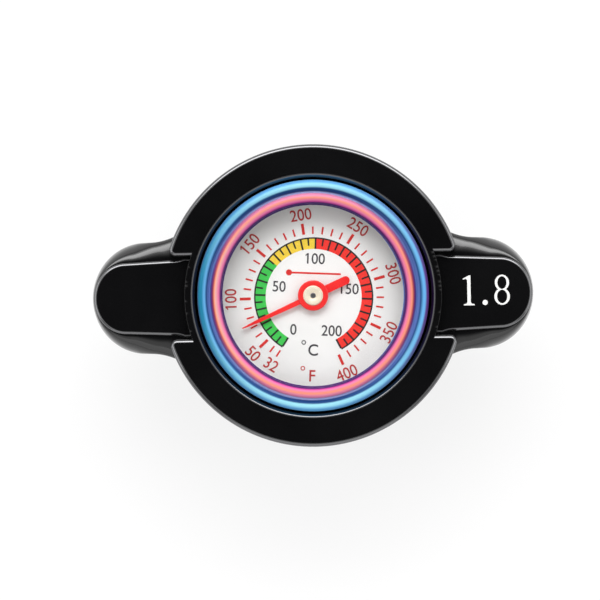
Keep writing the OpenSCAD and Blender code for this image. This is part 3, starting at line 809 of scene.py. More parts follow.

# %% [markdown]
# ## The bezel
#
# The ring round the dial is turned with two round beads and then heat-coloured, so its tint runs from
# plum at the window through rose and apricot to blue at its outer edge. The tint follows the radius,
# with other shades at the sides than at the top and foot, partly because the lamps light those sides
# differently. Its pale ice and lilac lines are painted highlights, and its navy band is partly a
# painted reflection of the dark opening overhead. Three colour ramps over the radius are mixed by the
# direction from the axis, and a little navy over them is painted shade, more at the back, where the
# strongest box shines, than at the front. The tent and the lamps draw the rest of its highlights.

# %% Turned bezel
WINDOW_R = 16.5
BEAD_R = 1.05
VALLEY_RISE = 0.35
LIP_REACH = 0.2
LIP_RISE = 0.3
LIP_EDGE = 0.2
CASE_GAP = 0.1
BEAD_STEPS = 24
BEZEL_SIDES = 256

bezel_r, bezel_foot, bezel_top = size_of("bezel")
lens_r, lens_foot, lens_top = size_of("lens")
bead_z = bezel_top - BEAD_R
crests = (WINDOW_R + BEAD_R, bezel_r - BEAD_R)
valley = math.degrees(math.asin(VALLEY_RISE / BEAD_R))
bezel_bore = lens_r + CASE_GAP
lip_r = WINDOW_R - LIP_REACH
bezel = turned("bezel_ring", [
    (bezel_bore, bezel_foot, 0.1), (bezel_r, bezel_foot, 0.2),
    *arc(BEAD_R, 0, 180 - valley, BEAD_STEPS, (crests[1], bead_z)),
    *arc(BEAD_R, valley, 180, BEAD_STEPS, (crests[0], bead_z)),
    (WINDOW_R, lens_top + LIP_RISE), (lip_r, lens_top + LIP_EDGE), (lip_r, lens_top),
    (bezel_bore, lens_top)], BEZEL_SIDES)
smooth(bezel, 50)
print("bezel:", len(bezel.data.polygons), "faces")

# %% Heat colours
# Heat colours of the bezel, some of them painted light: ICE_HIGHLIGHT and LILAC_HIGHLIGHT are painted
# highlights, and NAVY_AND_SHADE is painted shade as well as a blue tint.
LILAC_HIGHLIGHT = colour(176, 186, 232)
SLATE = colour(74, 84, 122)
PLUM = colour(66, 4, 84)
MAGENTA = colour(196, 60, 140)
ROSE = colour(236, 116, 160)
APRICOT = colour(250, 150, 110)
PEACH = colour(240, 182, 164)
BLUSH = colour(240, 140, 172)
RUST = colour(150, 40, 40)
VIOLET = colour(92, 44, 120)
PERIWINKLE = colour(100, 128, 196)
NAVY_AND_SHADE = colour(6, 52, 104)
TEAL = colour(20, 122, 152)
SKY = colour(104, 176, 230)
ICE_HIGHLIGHT = colour(160, 226, 240)
TINT_START = 16.2
TINT_WIDTH = 4.7


def tint(distance, *stops):
    """Colours by the distance from the axis in millimetres."""
    share = (distance - TINT_START) * (1 / TINT_WIDTH)
    return ramp(share, *[((radius - TINT_START) / TINT_WIDTH, shade) for radius, shade in stops])


def heat_colours(place):
    distance, _ = polar(place)
    x, y = [coordinate(place, axis) for axis in (0, 1)]
    drift = noise(place, 40.0) - 0.5
    radius = distance + 0.12 * drift
    # The ramps are the colours seen on the ring, painted highlights and painted shade included.
    ends = tint(
        radius, (16.2, LILAC_HIGHLIGHT), (16.32, PLUM), (16.75, PLUM), (16.95, MAGENTA), (17.2, ROSE),
        (17.65, APRICOT), (18.1, BLUSH), (18.4, BLUSH), (18.56, LILAC_HIGHLIGHT), (18.7, LILAC_HIGHLIGHT),
        (18.92, NAVY_AND_SHADE), (19.4, NAVY_AND_SHADE), (19.7, ICE_HIGHLIGHT), (20.1, ICE_HIGHLIGHT), (20.5, SKY), (20.85, SKY))
    left = tint(
        radius, (16.2, SLATE), (16.4, PLUM), (16.65, PLUM), (17.05, ROSE), (17.6, PEACH), (17.8, APRICOT),
        (18.05, RUST), (18.35, VIOLET), (18.65, PERIWINKLE), (18.9, PERIWINKLE), (19.2, NAVY_AND_SHADE),
        (19.6, SKY), (20.1, TEAL), (20.6, TEAL), (20.85, SLATE))
    right = tint(
        radius, (16.2, SLATE), (16.35, PERIWINKLE), (16.55, PLUM), (16.85, PLUM), (17.25, ROSE),
        (17.8, APRICOT), (18.15, RUST), (18.4, VIOLET), (18.75, PERIWINKLE), (19.05, PERIWINKLE),
        (19.4, NAVY_AND_SHADE), (19.9, SKY), (20.2, SKY), (20.5, VIOLET), (20.85, VIOLET))
    east = x / distance * 0.5 + 0.5
    north = y / distance
    shade = mixed(north * north, mixed(east, left, right), ends)
    # Painted shade: more navy towards the back, where the box behind lights the ring most, and less at the
    # front.
    painted_back_shade = 0.22 + 0.08 * north
    lines = turning_marks(place, 9.0)
    return {
        "Base Color": mixed(painted_back_shade, shade, NAVY_AND_SHADE),
        "Roughness": 0.42 + 0.12 * lines,
        "Normal": bump(lines, 0.0015),
    }


heat_and_highlight_bezel = finish("heat_and_highlight_bezel", heat_colours, Metallic=0.15, Specular_IOR_Level=0.15)
settle(bezel, heat_and_highlight_bezel, "cap_body", "heat_blue_bezel", "bezel")

# %% [markdown]
# ## The dial
#
# The dial is a thin white plate. Its print is two scales on one pointer: Celsius inside, on a band of
# green, yellow and red, and Fahrenheit outside in red. Print could be a texture, but each mark is a
# thin slab here, so the edges stay crisp from any distance. One function turns degrees Celsius into an
# angle, and every mark uses it.

# %% Dial plate
DIAL_BORE = 0.8
dial_r, dial_foot, dial_top = size_of("dial_plate")
dial = turned("dial", [
    (DIAL_BORE, dial_foot), (dial_r, dial_foot), (dial_r, dial_top, 0.1), (DIAL_BORE, dial_top)])
smooth(dial)


def dial_enamel(place):
    grain = noise(place, 900.0, 3.0)
    cloud = noise(place, 70.0)
    return {
        "Base Color": shades(cloud, (232, 232, 230), (242, 242, 241), high=0.75),
        "Roughness": 0.32 + 0.12 * grain,
        "Normal": bump(grain, 0.001),
    }


white_dial = finish("white_dial", dial_enamel)
settle(dial, white_dial, "cap_body", "white_dial", "dial_plate")

# %% Marks by angle
ZERO_ANGLE = 237
TURN_PER_C = 1.5
PRINT_TURN = -3
F_START = 32
F_PER_C = 1.8
F_RUN = 0.993
PRINT_SHIFT = Vector((0.1, -0.25, 0))
INK = 0.02
INK_SINK = 0.005
C_END = 200
C_PER_STEP = 2


def c_angle(celsius):
    """Direction of a temperature on the dial, in degrees from +X."""
    return ZERO_ANGLE - TURN_PER_C * celsius


def f_angle(fahrenheit):
    """The printed Fahrenheit scale runs a little short of the Celsius one."""
    return c_angle((fahrenheit - F_START) / F_PER_C * F_RUN)


def turned_outline(outline, degrees):
    """An outline turned about the axis."""
    turn = Matrix.Rotation(math.radians(degrees), 2)
    return [turn @ Vector(point) for point in outline]


def printed(name, outline, layer=1):
    """A mark of ink on the dial, with later layers a little higher."""
    return prism(name, outline, dial_top - INK_SINK, dial_top + INK * layer)


def tick(angle, inner, outer, width):
    """A line along the radius."""
    half = width / 2
    corners = [(inner, -half), (outer, -half), (outer, half), (inner, half)]
    return printed("tick", turned_outline(corners, angle), 2)


def band(name, start_c, end_c, inner, outer):
    """A stretch of a coloured ring between two temperatures."""
    steps = round((end_c - start_c) / C_PER_STEP)
    start, end = c_angle(start_c), c_angle(end_c)
    return printed(name, arc(outer, start, end, steps) + arc(inner, end, start, steps))


print("Celsius scale:", c_angle(0), "to", c_angle(C_END), "degrees")

# %% Numbers
FLAG_SIZE = (0.22, 0.08)
FLAG_PLACE = (-0.03, -0.1)
FLAG_LEAN = 40
BOLD = 0.008
BOLD_LETTER = 0.012


def number(text, height, centre, turn, squeeze, bold=BOLD):
    """A number from the built-in font, as a mesh set on the dial by its middle. A first 1 gets a flag."""
    bpy.ops.object.select_all(action="DESELECT")
    bpy.ops.object.text_add()
    words = bpy.context.object.data
    words.body = text
    words.extrude = 0.5
    words.bevel_depth = bold
    words.bevel_resolution = 0
    bpy.ops.object.convert(target="MESH")
    label = bpy.context.object
    if text.startswith("1"):
        left = min(point.co.x for point in label.data.vertices)
        top = max(point.co.y for point in label.data.vertices)
        bpy.ops.mesh.primitive_cube_add(size=1)
        flag = bpy.context.object
        lean = Matrix.Rotation(math.radians(FLAG_LEAN), 4, "Z") @ Matrix.Diagonal((*FLAG_SIZE, 1, 1))
        flag.data.transform(Matrix.Translation((left + FLAG_PLACE[0], top + FLAG_PLACE[1], 0)) @ lean)
        label = joined("label", [label, flag])
    xs, ys = zip(*[point.co.xy for point in label.data.vertices])
    middle = Vector(((min(xs) + max(xs)) / 2, (min(ys) + max(ys)) / 2, 0))
    scale = height / (max(ys) - min(ys))
    label.data.transform(
        Matrix.Translation(Vector((*centre, dial_top + INK / 2)) * MM)
        @ Matrix.Rotation(math.radians(turn), 4, "Z")
        @ Matrix.Diagonal((scale * squeeze * MM, scale * MM, INK * MM, 1))
        @ Matrix.Translation(-middle))
    tidy(label)
    return label


def set_print(piece, material, slot):
    """A finished piece of print. All print lies a little off the middle, as on many cheap dials."""
    piece.data.transform(Matrix.Translation(PRINT_SHIFT * MM))
    settle(piece, material, "cap_body", slot)


# %% Inks
INK_WEAK = 0.96


def ink(name, red, green, blue):
    """A printing ink: the same colour all over, a little uneven in strength and gloss."""
    dark = [part * INK_WEAK for part in (red, green, blue)]

    def wiring(place):
        grain = noise(place, 2400.0, 3.0)
        return {
            "Base Color": shades(grain, dark, (red, green, blue), 0.35, 0.6),
            "Roughness": 0.38 + 0.2 * grain,
        }

    return finish(name, wiring)


red_ink = ink("red_ink", 214, 40, 36)
dark_red_ink = ink("dark_red_ink", 190, 52, 52)
green_ink = ink("green_ink", 58, 196, 78)
yellow_ink = ink("yellow_ink", 240, 206, 62)
scarlet_ink = ink("scarlet_ink", 238, 46, 36)
black_ink = ink("black_ink", 26, 24, 24)
grey_ink = ink("grey_ink", 62, 60, 64)

# %% Celsius scale
BAND_IN = 8.65
BAND_OUT = 10.48
WARM_FROM = 65.5
HOT_FROM = 100
C_RIM = 0.27
C_TICK_W = 0.32
C_MINOR_W = 0.3
C_MINOR_IN = BAND_IN + 0.6
C_NUMBER_R = 6.9
C_SIDE_NUMBER_R = 6.5
C_NUMBER_H = 1.95
C_SQUEEZE = 0.92

BANDS = (
    ("band_cool", 0, WARM_FROM, green_ink),
    ("band_warm", WARM_FROM, HOT_FROM, yellow_ink),
    ("band_hot", HOT_FROM, C_END, scarlet_ink))
for name, start, end, band_ink in BANDS:
    set_print(band(name, start, end, BAND_IN, BAND_OUT), band_ink, "white_dial")

c_marks = [tick(c_angle(c), BAND_IN, BAND_OUT, C_TICK_W) for c in range(0, C_END + 1, 10)]
c_marks += [tick(c_angle(c), C_MINOR_IN, BAND_OUT, C_MINOR_W) for c in range(5, C_END, 10)]
c_marks.append(band("band_rim", 0, C_END, BAND_OUT, BAND_OUT + C_RIM))
set_print(joined("celsius_ticks", c_marks), black_ink, "white_dial")

c_numbers = []
for celsius in range(0, C_END + 1, 50):
    spot = at_angle(C_SIDE_NUMBER_R if celsius % 100 else C_NUMBER_R, c_angle(celsius))
    c_numbers.append(number(str(celsius), C_NUMBER_H, spot, PRINT_TURN, C_SQUEEZE))

# %% Signs of the two units
RING_R = 0.42
RING_HOLE_R = 0.24
RING_SIDES = 24
RING_PLACE = (-1.5, 1.3)
LETTER_X = 0.25
LETTER_SQUEEZE = 0.95


def degree_ring(centre):
    """The small ring of a degree sign."""
    ring = printed("ring", circle(RING_R, RING_SIDES, centre))
    hole = prism("hole", circle(RING_HOLE_R, RING_SIDES, centre), dial_top - CUT_OVER, dial_top + CUT_OVER)
    combine(ring, "DIFFERENCE", hole)
    return ring


def unit_sign(letter, height, drop):
    """A degree sign and its letter, below the middle of the dial."""
    places = [(LETTER_X, -drop), (RING_PLACE[0], RING_PLACE[1] - drop)]
    middle, ring = turned_outline(places, PRINT_TURN)
    return [number(letter, height, middle, PRINT_TURN, LETTER_SQUEEZE, BOLD_LETTER), degree_ring(ring)]


set_print(joined("celsius_numbers", c_numbers + unit_sign("C", 2.1, 9.56)), grey_ink, "white_dial")

# %% Fahrenheit scale
F_IN = 11.34
F_OUT = 13.32
F_MINOR_OUT = 12.69
F_TICK_W = 0.5
F_MINOR_W = 0.3
F_NUMBER_R = 14.94
F_START_R = 14.4
F_NUMBER_H = 2.1
F_SQUEEZE = 0.9
F_NUMBERS = range(50, 401, 50)

f_marks = [tick(f_angle(f), F_IN, F_OUT, F_TICK_W) for f in F_NUMBERS]
minor = [f for f in range(40, 400, 10) if f % 50] + [F_START]
f_marks += [tick(f_angle(f), F_IN, F_MINOR_OUT, F_MINOR_W) for f in minor]
set_print(joined("fahrenheit_ticks", f_marks), red_ink, "red_pointer")

f_numbers = []
for fahrenheit in (F_START, *F_NUMBERS):
    angle = f_angle(fahrenheit)
    turn = angle - 90 if 100 <= fahrenheit <= 300 else angle + 90
    spot = at_angle(F_NUMBER_R if fahrenheit > F_START else F_START_R, angle)
    f_numbers.append(number(str(fahrenheit), F_NUMBER_H, spot, turn, F_SQUEEZE))
set_print(joined("fahrenheit_numbers", f_numbers + unit_sign("F", 2.07, 14.22)), dark_red_ink, "red_pointer")

# %% A small sign for heat
SIGN_Y = 4.25
SIGN_HALF = 4.6
STEM_HALF = 0.17
BULB_R = 0.55
BULB_SIDES = 36

stem_end = arc(STEM_HALF, -90, 90, 8, (SIGN_HALF, SIGN_Y))
stem_outline = [(-SIGN_HALF, SIGN_Y - STEM_HALF), *stem_end, (-SIGN_HALF, SIGN_Y + STEM_HALF)]
stem = printed("stem", turned_outline(stem_outline, PRINT_TURN))
bulb_outline = circle(BULB_R, BULB_SIDES, (-SIGN_HALF, SIGN_Y))
bulb = printed("bulb", turned_outline(bulb_outline, PRINT_TURN), 1.5)
set_print(joined("heat_sign", [stem, bulb]), red_ink, "red_pointer")

# %% [markdown]
# ## The pointer
#
# A red needle with a heavier tail sits on a cream hub, and the end of its steel shaft shows in the
# middle. The needle is one flat outline, extruded. Its boss is turned and joined on, and a bevel takes
# the sharp edge off, because even stamped sheet shows a thin bright line there. All three pieces ride
# on the body that turns with temperature.

# %% Needle, hub and shaft
POINTER_ANGLE = 204
POINTER_T = 0.3
NEEDLE_L = 14.1
SHOULDER_L = 11.0
TAIL_L = 7.2
TAIL_HALF = 0.75
TAIL_STEP = 0.3
ROOT_HALF = 0.5
SHOULDER_HALF = 0.325
TIP_HALF = 0.1
BOSS_R = 2.75
BOSS_SIDES = 96
DISH_R = 0.35
DISH_FLOOR_R = 0.2
DISH_DEPTH = 0.12
SMALL_SIDES = 48

hub_r, hub_foot, hub_top = size_of("pointer_hub")
shaft_r, shaft_foot, shaft_top = size_of("pointer_shaft")
_, pointer_foot, boss_top = size_of("pointer")
tail_end = arc(TAIL_HALF, 90, 270, 16, (TAIL_HALF - TAIL_L, 0))
lower_side = [
    (-TAIL_STEP, -TAIL_HALF), (TAIL_STEP, -ROOT_HALF), (SHOULDER_L, -SHOULDER_HALF), (NEEDLE_L, -TIP_HALF)]
needle_outline = tail_end + lower_side + mirrored(lower_side)
needle = prism("needle", needle_outline, pointer_foot, pointer_foot + POINTER_T)
boss = turned("boss", [
    (0, pointer_foot), (BOSS_R, pointer_foot), (BOSS_R, boss_top, 0.2), (0, boss_top)], BOSS_SIDES)
combine(needle, "UNION", boss)
bore = prism("bore", circle(hub_r, BOSS_SIDES), pointer_foot - CUT_OVER, boss_top + CUT_OVER)
combine(needle, "DIFFERENCE", bore)
soften(needle, 0.05, 2)
needle.data.transform(Matrix.Rotation(math.radians(POINTER_ANGLE), 4, "Z"))
smooth(needle)

hub = turned("hub", [
    (shaft_r, hub_foot), (hub_r, hub_foot), (hub_r, hub_top, 0.28), (shaft_r + DISH_R, hub_top),
    (shaft_r + DISH_FLOOR_R, hub_top - DISH_DEPTH), (shaft_r, hub_top - DISH_DEPTH)], BOSS_SIDES)
smooth(hub)
shaft = turned("shaft", [
    (0, shaft_foot), (shaft_r, shaft_foot, 0.1), (shaft_r, shaft_top, 0.14), (0, shaft_top)], SMALL_SIDES)
smooth(shaft)
print("needle:", len(needle.data.polygons), "faces")

# %% Red, cream and steel
def red_enamel(place):
    grain = noise(place, 1400.0, 3.0)
    cloud = noise(place, 260.0)
    return {
        "Base Color": shades(cloud, (226, 34, 36), (240, 48, 46)),
        "Roughness": 0.26 + 0.16 * grain,
        "Normal": bump(grain, 0.002),
    }


def cream_enamel(place):
    lines = turning_marks(place, 7.0)
    return {
        "Base Color": shades(lines, (226, 214, 186), (246, 238, 220)),
        "Roughness": 0.28 + 0.14 * lines,
        "Normal": bump(lines, 0.003),
    }


def drawn_wire(place):
    lines = turning_marks(place, 6.0)
    cloud = noise(place, 320.0, 3.0)
    return {
        "Base Color": shades(cloud, (112, 112, 116), (158, 160, 164)),
        "Roughness": 0.24 + 0.18 * lines,
        "Normal": bump(lines, 0.002),
    }


red_pointer = finish("red_pointer", red_enamel, Coat_Weight=0.3)
cream_hub = finish("cream_hub", cream_enamel, Metallic=0.15)
spring_steel = finish("spring_steel", drawn_wire, Metallic=1.0)
settle(needle, red_pointer, "needle", "red_pointer", "pointer")
settle(hub, cream_hub, "needle", "cream_hub", "pointer_hub")
settle(shaft, spring_steel, "needle", "spring_steel", "pointer_shaft")

# %% [markdown]
# ## The glass
#
# A flat glass disc lies under the bezel's lip. Seen from above it is nearly invisible, and from the
# side it mirrors the room. A true glass shader would need many bounces to light the dial through it.
# Here the disc is a mirror whose opacity follows the viewing angle, from four percent straight on to
# nearly all at a grazing look. A thin film of dust and wiping marks adds a little to it.

# %% Lens
LENS_EDGE = 0.15
lens = turned("lens_glass", [
    (0, lens_foot), (lens_r, lens_foot, LENS_EDGE), (lens_r, lens_top, LENS_EDGE), (0, lens_top)])
smooth(lens)


def clear_glass(place):
    film = noise(place, 120.0, 4.0, 0.65)
    facing = place.node("LayerWeight", {"Blend": 0.5}, out="Facing")
    return {"Alpha": 0.04 + 0.9 * facing ** 5.0 + 0.012 * film, "Roughness": 0.02 + 0.05 * film}


clear_lens = finish("clear_lens", clear_glass, Metallic=1.0, Base_Color=(0.95, 0.97, 0.98, 1))
settle(lens, clear_lens, "cap_body", "clear_lens", "lens")

# %% [markdown]
# ## Pressed steel below the cover
#
# Under the cover hangs what locks and seals: a bayonet crown with two lugs, a domed spring disc, a
# flanged seat for the spring, a valve plate with a vented hat and a ring that holds the seal. The gauge
# sits in a drawn case. Pressings are sections of even thickness with soft bends, so they are spun on
# the lathe. Zinc plating is bright but cloudy, with faint lines from the press tools.

# %% Bayonet crown
CROWN_T = 1.0
CROWN_IN_R = 22.7
SLIDE_R = 4.05
LUG_REACH = 3.0
LUG_ARC = 62
SCREW_CIRCLE_R = 18.0
SCREW_ANGLES = (90, 210, 330)
SCREW_HOLE_R = 1.35
HOLE_SIDES = 24
LUG_SINK = 0.3

crown_r, crown_foot, crown_top = size_of("bayonet_crown")
crown = turned("crown", [
    (SLIDE_R, crown_top - CROWN_T), (CROWN_IN_R, crown_top - CROWN_T, 0.6), (CROWN_IN_R, crown_foot, 0.2),
    (crown_r, crown_foot, 0.2), (crown_r, crown_top, 1.1), (SLIDE_R, crown_top)])
lug_in = CROWN_IN_R - LUG_REACH
lug_out = crown_r - LUG_SINK
for middle in (90, 270):
    lug = turned("lug", [
        (lug_in, crown_foot, 0.25), (lug_out, crown_foot),
        (lug_out, crown_foot + CROWN_T), (lug_in, crown_foot + CROWN_T, 0.25)],
        32, middle - LUG_ARC / 2, LUG_ARC)
    combine(crown, "UNION", lug)
for angle in SCREW_ANGLES:
    outline = circle(SCREW_HOLE_R, HOLE_SIDES, at_angle(SCREW_CIRCLE_R, angle))
    combine(crown, "DIFFERENCE", prism("hole", outline, crown_top - 2 * CROWN_T, crown_top + CROWN_T))
smooth(crown, 35)


def zinc_plate(place):
    lines = turning_marks(place, 4.0)
    cloud = noise(place, 150.0, 4.0, 0.6)
    return {
        "Base Color": shades(cloud, (172, 174, 178), (208, 210, 213)),
        "Roughness": 0.2 + 0.2 * cloud + 0.06 * lines,
        "Normal": bump(lines, 0.003),
    }


plated_steel = finish("plated_steel", zinc_plate, Metallic=1.0)
settle(crown, plated_steel, "cap_body", "plated_steel", "bayonet_crown")

# %% Screws of the crown
HEAD_R = 2.3
HEAD_H = 1.2
HEAD_FACE_R = 1.5
HEAD_DOME = 0.5
SHANK_R = 1.25
SOCKET_R = 1.1
SOCKET_DEPTH = 0.6

_, screw_foot, screw_top = size_of("crown_screws")
screw = turned("screw", [
    (0, screw_foot), (HEAD_FACE_R, screw_foot, 0.3), (HEAD_R, screw_foot + HEAD_DOME, 0.4),
    (HEAD_R, screw_foot + HEAD_H), (SHANK_R, screw_foot + HEAD_H), (SHANK_R, screw_top, 0.25),
    (0, screw_top)], SMALL_SIDES)
socket = prism("socket", circle(SOCKET_R, 6), screw_foot - CUT_OVER, screw_foot + SOCKET_DEPTH)
combine(screw, "DIFFERENCE", socket)
screw.data.transform(Matrix.Translation((SCREW_CIRCLE_R * MM, 0, 0)))
smooth(screw)
screws = joined("screws", [turn_copy(screw, angle) for angle in SCREW_ANGLES])
bpy.data.objects.remove(screw)
settle(screws, plated_steel, "cap_body", "plated_steel", "crown_screws")

# %% Spring disc and spring seat
DISC_T = 0.4
DISC_FLAT_R = 12.4
DISC_STEP_R = 15.0
DISC_BORE = 4.3
PRESSING_T = 0.8
CUP_IN_R = 5.2

disc_r, disc_foot, disc_top = size_of("spring_disc")
disc = turned("domed_disc", [
    (DISC_BORE, disc_top - DISC_T), (DISC_FLAT_R, disc_top - DISC_T, 1.6), (DISC_STEP_R, disc_foot, 1.2),
    (disc_r, disc_foot, 0.12), (disc_r, disc_foot + DISC_T, 0.12), (DISC_STEP_R, disc_foot + DISC_T, 0.9),
    (DISC_FLAT_R, disc_top, 1.9), (DISC_BORE, disc_top)])
smooth(disc)
settle(disc, plated_steel, "seal_stack", "plated_steel", "spring_disc")

seat_r, seat_foot, seat_top = size_of("spring_seat")
seat_face = seat_top - PRESSING_T
cup_r = CUP_IN_R + PRESSING_T
seat = turned("flanged_seat", [
    (SLIDE_R, seat_foot, 0.15), (cup_r, seat_foot, 0.5), (cup_r, seat_face, 0.3), (seat_r, seat_face, 0.2),
    (seat_r, seat_top, 0.2), (CUP_IN_R, seat_top, 0.2), (CUP_IN_R, seat_foot + PRESSING_T),
    (SLIDE_R, seat_foot + PRESSING_T)])
smooth(seat)
settle(seat, plated_steel, "seal_stack", "plated_steel", "spring_seat")

# %% Valve plate with its hat
HAT_R = 9.2
HAT_H = 4.6
VENT_STEP = 60
VENT_R = 0.8
VENT_CIRCLE_R = 6.45
VENT_START = 4

plate_r, collar_foot, hat_top = size_of("valve_plate")
plate_top = hat_top - HAT_H
plate_under = plate_top - PRESSING_T
hat_in = HAT_R - PRESSING_T
hat_under = hat_top - PRESSING_T
collar_r = SLIDE_R + PRESSING_T
plate = turned("hat_plate", [
    (SLIDE_R, collar_foot), (collar_r, collar_foot, 0.2), (collar_r, hat_under, 0.3),
    (hat_in, hat_under, 0.4), (hat_in, plate_under, 0.9), (plate_r, plate_under, 0.2),
    (plate_r, plate_top, 0.3), (HAT_R, plate_top, 0.3), (HAT_R, hat_top, 1.0), (SLIDE_R, hat_top, 0.2)])
for angle in range(0, 360, VENT_STEP):
    outline = circle(VENT_R, HOLE_SIDES, at_angle(VENT_CIRCLE_R, angle), VENT_START)
    vent = prism("vent", outline, hat_top - 2 * PRESSING_T, hat_top + PRESSING_T)
    combine(plate, "DIFFERENCE", vent)
smooth(plate, 35)
settle(plate, plated_steel, "main_valve", "plated_steel", "valve_plate")

# %% Seal retainer and gauge case
RETAINER_LIP_W = 1.3
RETAINER_LIP_T = 0.5
RETAINER_BORE = 8.9
CASE_T = 0.6
CASE_BORE = 4.1

retainer_r, retainer_foot, retainer_top = size_of("seal_retainer")
sleeve_r = retainer_r - RETAINER_LIP_W
lip_top = retainer_foot + RETAINER_LIP_T
retainer = turned("retainer", [
    (RETAINER_BORE, retainer_foot, 0.3), (retainer_r, retainer_foot, 0.2), (retainer_r, lip_top, 0.15),
    (sleeve_r, lip_top, 0.1), (sleeve_r, retainer_top), (RETAINER_BORE, retainer_top)])
smooth(retainer)
settle(retainer, plated_steel, "main_valve", "plated_steel", "seal_retainer")

case_r, case_foot, case_rim = size_of("gauge_case")
case_in = case_r - CASE_T
case_floor = case_foot + CASE_T
case = turned("drawn_case", [
    (CASE_BORE, case_foot), (case_r, case_foot, 0.8), (case_r, case_rim, 0.1), (case_in, case_rim, 0.1),
    (case_in, case_floor, 0.4), (CASE_BORE, case_floor)])
smooth(case)
settle(case, plated_steel, "cap_body", "plated_steel", "gauge_case")

# %% [markdown]
# ## Brass
#
# The probe that reaches into the coolant is a closed brass tube with a groove for its clip. The disc of
# the small return valve, the washer under its spring and the slip washer of the seals are brass too.
# Brass tarnishes in brown clouds where hands and coolant touched it, and the lathe leaves fine lines
# round it.

# %% Probe and brass rings
PROBE_FLANGE_R = 5.4
PROBE_IN_R = 3.2
PROBE_FLANGE_T = 0.8
PROBE_PLAY = 0.05
PROBE_END = 0.9
CLIP_GROOVE = 0.5
PROBE_SIDES = 96
BRASS_RINGS = (
    ("return_disc", "vacuum_disc", 5.0, 0.15, "return_valve"),
    ("spring_washer", "vacuum_spring_seat", 4.85, 0.1, "main_valve"),
    ("slip_washer", "thrust_washer", 4.3, 0.08, "cap_body"))

_, probe_foot, probe_top = size_of("probe_tube")
_, clip_foot, clip_top = size_of("retaining_clip")
probe_r = SLIDE_R - PROBE_PLAY
groove_r = probe_r - CLIP_GROOVE
flange_foot = probe_top - PROBE_FLANGE_T
tube_floor = clip_top + PROBE_END
probe = turned("probe", [
    (0, probe_foot), (probe_r, probe_foot, 0.5), (probe_r, clip_foot, 0.08), (groove_r, clip_foot),
    (groove_r, clip_top), (probe_r, clip_top, 0.08), (probe_r, flange_foot),
    (PROBE_FLANGE_R, flange_foot, 0.1), (PROBE_FLANGE_R, probe_top, 0.2), (PROBE_IN_R, probe_top, 0.2),
    (PROBE_IN_R, tube_floor, 0.5), (0, tube_floor)], PROBE_SIDES)
smooth(probe)


def washer(name, node, inner, edge):
    """A flat ring as wide and high as its solid, with softened edges."""
    outer, foot, top = size_of(node)
    piece = turned(name, [(inner, foot, edge), (outer, foot, edge), (outer, top, edge), (inner, top, edge)])
    smooth(piece)
    return piece


def old_brass(place):
    lines = turning_marks(place, 5.0)
    tarnish = noise(place, 190.0, 5.0, 0.62)
    return {
        "Base Color": ramp(
            tarnish, (0.32, colour(150, 112, 52)), (0.5, colour(206, 164, 84)),
            (0.75, colour(224, 188, 110))),
        "Roughness": 0.36 - 0.16 * tarnish + 0.1 * lines,
        "Normal": bump(lines, 0.003),
    }


brass = finish("brass", old_brass, Metallic=1.0)
settle(probe, brass, "cap_body", "brass", "probe_tube")
for name, node, inner, edge, body in BRASS_RINGS:
    settle(washer(name, node, inner, edge), brass, body, "brass", node)

# %% [markdown]
# ## Rubber
#
# Four rings seal the cap: on the neck's rim, on the lower seat, on the return valve and under the
# glass. They are moulded, so their edges are soft, and the surface is matt black with a pale bloom in
# places.

# %% Seals
SEAL_IN_R = 10.3
SEAL_LIP_R = 11.6
SEAL_LIP_Z = -13.5
RUBBER_RINGS = (
    ("rim_gasket", "neck_gasket", 15.2, 0.3, "seal_stack"),
    ("return_seal", "vacuum_seal", 5.0, 0.15, "return_valve"),
    ("glass_gasket", "lens_gasket", 17.05, 0.12, "cap_body"))

seal_r, seal_foot, seal_top = size_of("valve_seal")
seal = turned("lower_seal", [
    (SEAL_IN_R, seal_top), (seal_r, seal_top, 0.2), (seal_r, seal_foot, 0.5), (SEAL_LIP_R, seal_foot, 0.35),
    (SEAL_LIP_R, SEAL_LIP_Z, 0.1), (SEAL_IN_R, SEAL_LIP_Z, 0.1)])
smooth(seal)


def moulded_rubber(place):
    grain = noise(place, 1500.0, 3.0)
    bloom = noise(place, 130.0, 4.0, 0.6)
    return {
        "Base Color": shades(bloom, (20, 20, 21), (46, 46, 48), 0.35, 0.75),
        "Roughness": 0.52 + 0.25 * bloom,
        "Normal": bump(grain, 0.012),
    }


black_rubber = finish("black_rubber", moulded_rubber)
settle(seal, black_rubber, "main_valve", "black_rubber", "valve_seal")
for name, node, inner, edge, body in RUBBER_RINGS:
    settle(washer(name, node, inner, edge), black_rubber, body, "black_rubber", node)

# %% [markdown]
# ## Springs and clip
#
# The main spring pushes the valve onto its seat, and a thin one holds the return valve closed. A spring
# could be a curve with a round bevel, but its end turns lie closer than the rest and are ground flat,
# so a grid is folded into a tube along a formula for the height of the wire, closed at its ends, and
# cut by two flat planes. The open clip in the probe's groove holds the valves on.

# %% Springs
WIRE_SIDES = 16
STEPS_PER_TURN = 48
GROUND = 0.3
CLOSE_PITCH = 1.06
SPRING_GAP = 0.02
GRIND_WITHIN = 0.001


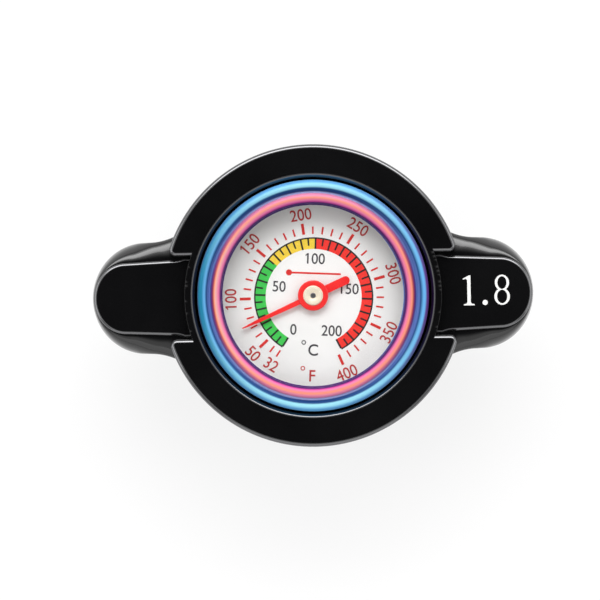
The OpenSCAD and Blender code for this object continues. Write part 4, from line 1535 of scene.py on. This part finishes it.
def wound_spring(name, coil_r, wire, foot, top, turns, close_turns):
    """A wire spring whose end turns lie close together and are ground flat."""
    start = foot + GROUND * wire
    rise = top - foot - 2 * GROUND * wire
    close_rise = close_turns * CLOSE_PITCH * wire
    open_pitch = (rise - 2 * close_rise) / (turns - 2 * close_turns)
    steps = round(turns * STEPS_PER_TURN)

    def wire_height(turn):
        if turn < close_turns:
            return start + turn * CLOSE_PITCH * wire
        if turn > turns - close_turns:
            return start + rise - (turns - turn) * CLOSE_PITCH * wire
        return start + close_rise + (turn - close_turns) * open_pitch

    def place(column, row):
        turn = turns * column / steps
        along = 2 * math.pi * turn
        round_wire = 2 * math.pi * row / WIRE_SIDES
        reach = coil_r + wire / 2 * math.cos(round_wire)
        height = wire_height(turn) + wire / 2 * math.sin(round_wire)
        return reach * math.cos(along), reach * math.sin(along), height

    spring = folded(name, steps, WIRE_SIDES, place)
    tidy(spring)
    edit_points(spring)
    bpy.ops.mesh.fill_holes(sides=0)
    for level, waste in ((foot, "clear_inner"), (top, "clear_outer")):
        bpy.ops.mesh.select_all(action="SELECT")
        bpy.ops.mesh.bisect(
            plane_co=(0, 0, level * MM), plane_no=(0, 0, 1), use_fill=True,
            threshold=GRIND_WITHIN * MM, **{waste: True})
    bpy.ops.object.mode_set(mode="OBJECT")
    tidy(spring)
    smooth(spring)
    return spring


main_spring = wound_spring("main_spring", 10.6, 1.8, plate_top + SPRING_GAP, seat_face, 4.5, 0.75)
settle(main_spring, spring_steel, "seal_stack", "spring_steel", "pressure_spring")
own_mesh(main_spring)

washer_top = size_of("vacuum_spring_seat")[2]
return_foot = size_of("vacuum_disc")[1]
thin_spring = wound_spring("thin_spring", 6.45, 0.4, washer_top, return_foot, 2.0, 0.5)
settle(thin_spring, spring_steel, "main_valve", "spring_steel", "vacuum_spring")
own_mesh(thin_spring)

# %% Clip
CLIP_R = 6.0
CLIP_MOUTH = 4.8
inner_lean = math.degrees(math.asin(CLIP_MOUTH / 2 / groove_r))
outer_lean = math.degrees(math.asin(CLIP_MOUTH / 2 / CLIP_R))
clip_outside = arc(CLIP_R, outer_lean, 360 - outer_lean, 72)
clip_inside = arc(groove_r, 360 - inner_lean, inner_lean, 48)
clip = prism("clip", clip_outside + clip_inside, clip_foot, clip_top)
soften(clip, 0.12, 3)
smooth(clip)
settle(clip, spring_steel, "cap_body", "spring_steel", "retaining_clip")

# %% [markdown]
# ## Pieces that stay as they are
#
# Some solids sit inside the gauge or the probe, and their plain shape is right. They keep it and only
# get a finish: brass for the turned ones, rubber for the two inner seals, white enamel for the ring
# under the dial, and a two-metal strip for the coil that turns the shaft.

# %% Finishes of the inner pieces
def two_metals(place):
    lines = turning_marks(place, 4.0)
    cloud = noise(place, 400.0, 3.0)
    return {
        "Base Color": shades(cloud, (158, 128, 90), (198, 172, 134)),
        "Roughness": 0.28 + 0.18 * lines,
    }


bimetal = finish("bimetal", two_metals, Metallic=1.0)
INNER = {
    "shaft_bush": brass, "coil_anchor": brass, "coil_collet": brass, "bimetal_coil": bimetal,
    "case_seal": black_rubber, "stem_o_ring": black_rubber, "dial_ring": white_dial,
}
for name, material in INNER.items():
    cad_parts[name].material_slots[0].material = material
print("inner pieces:", len(INNER))
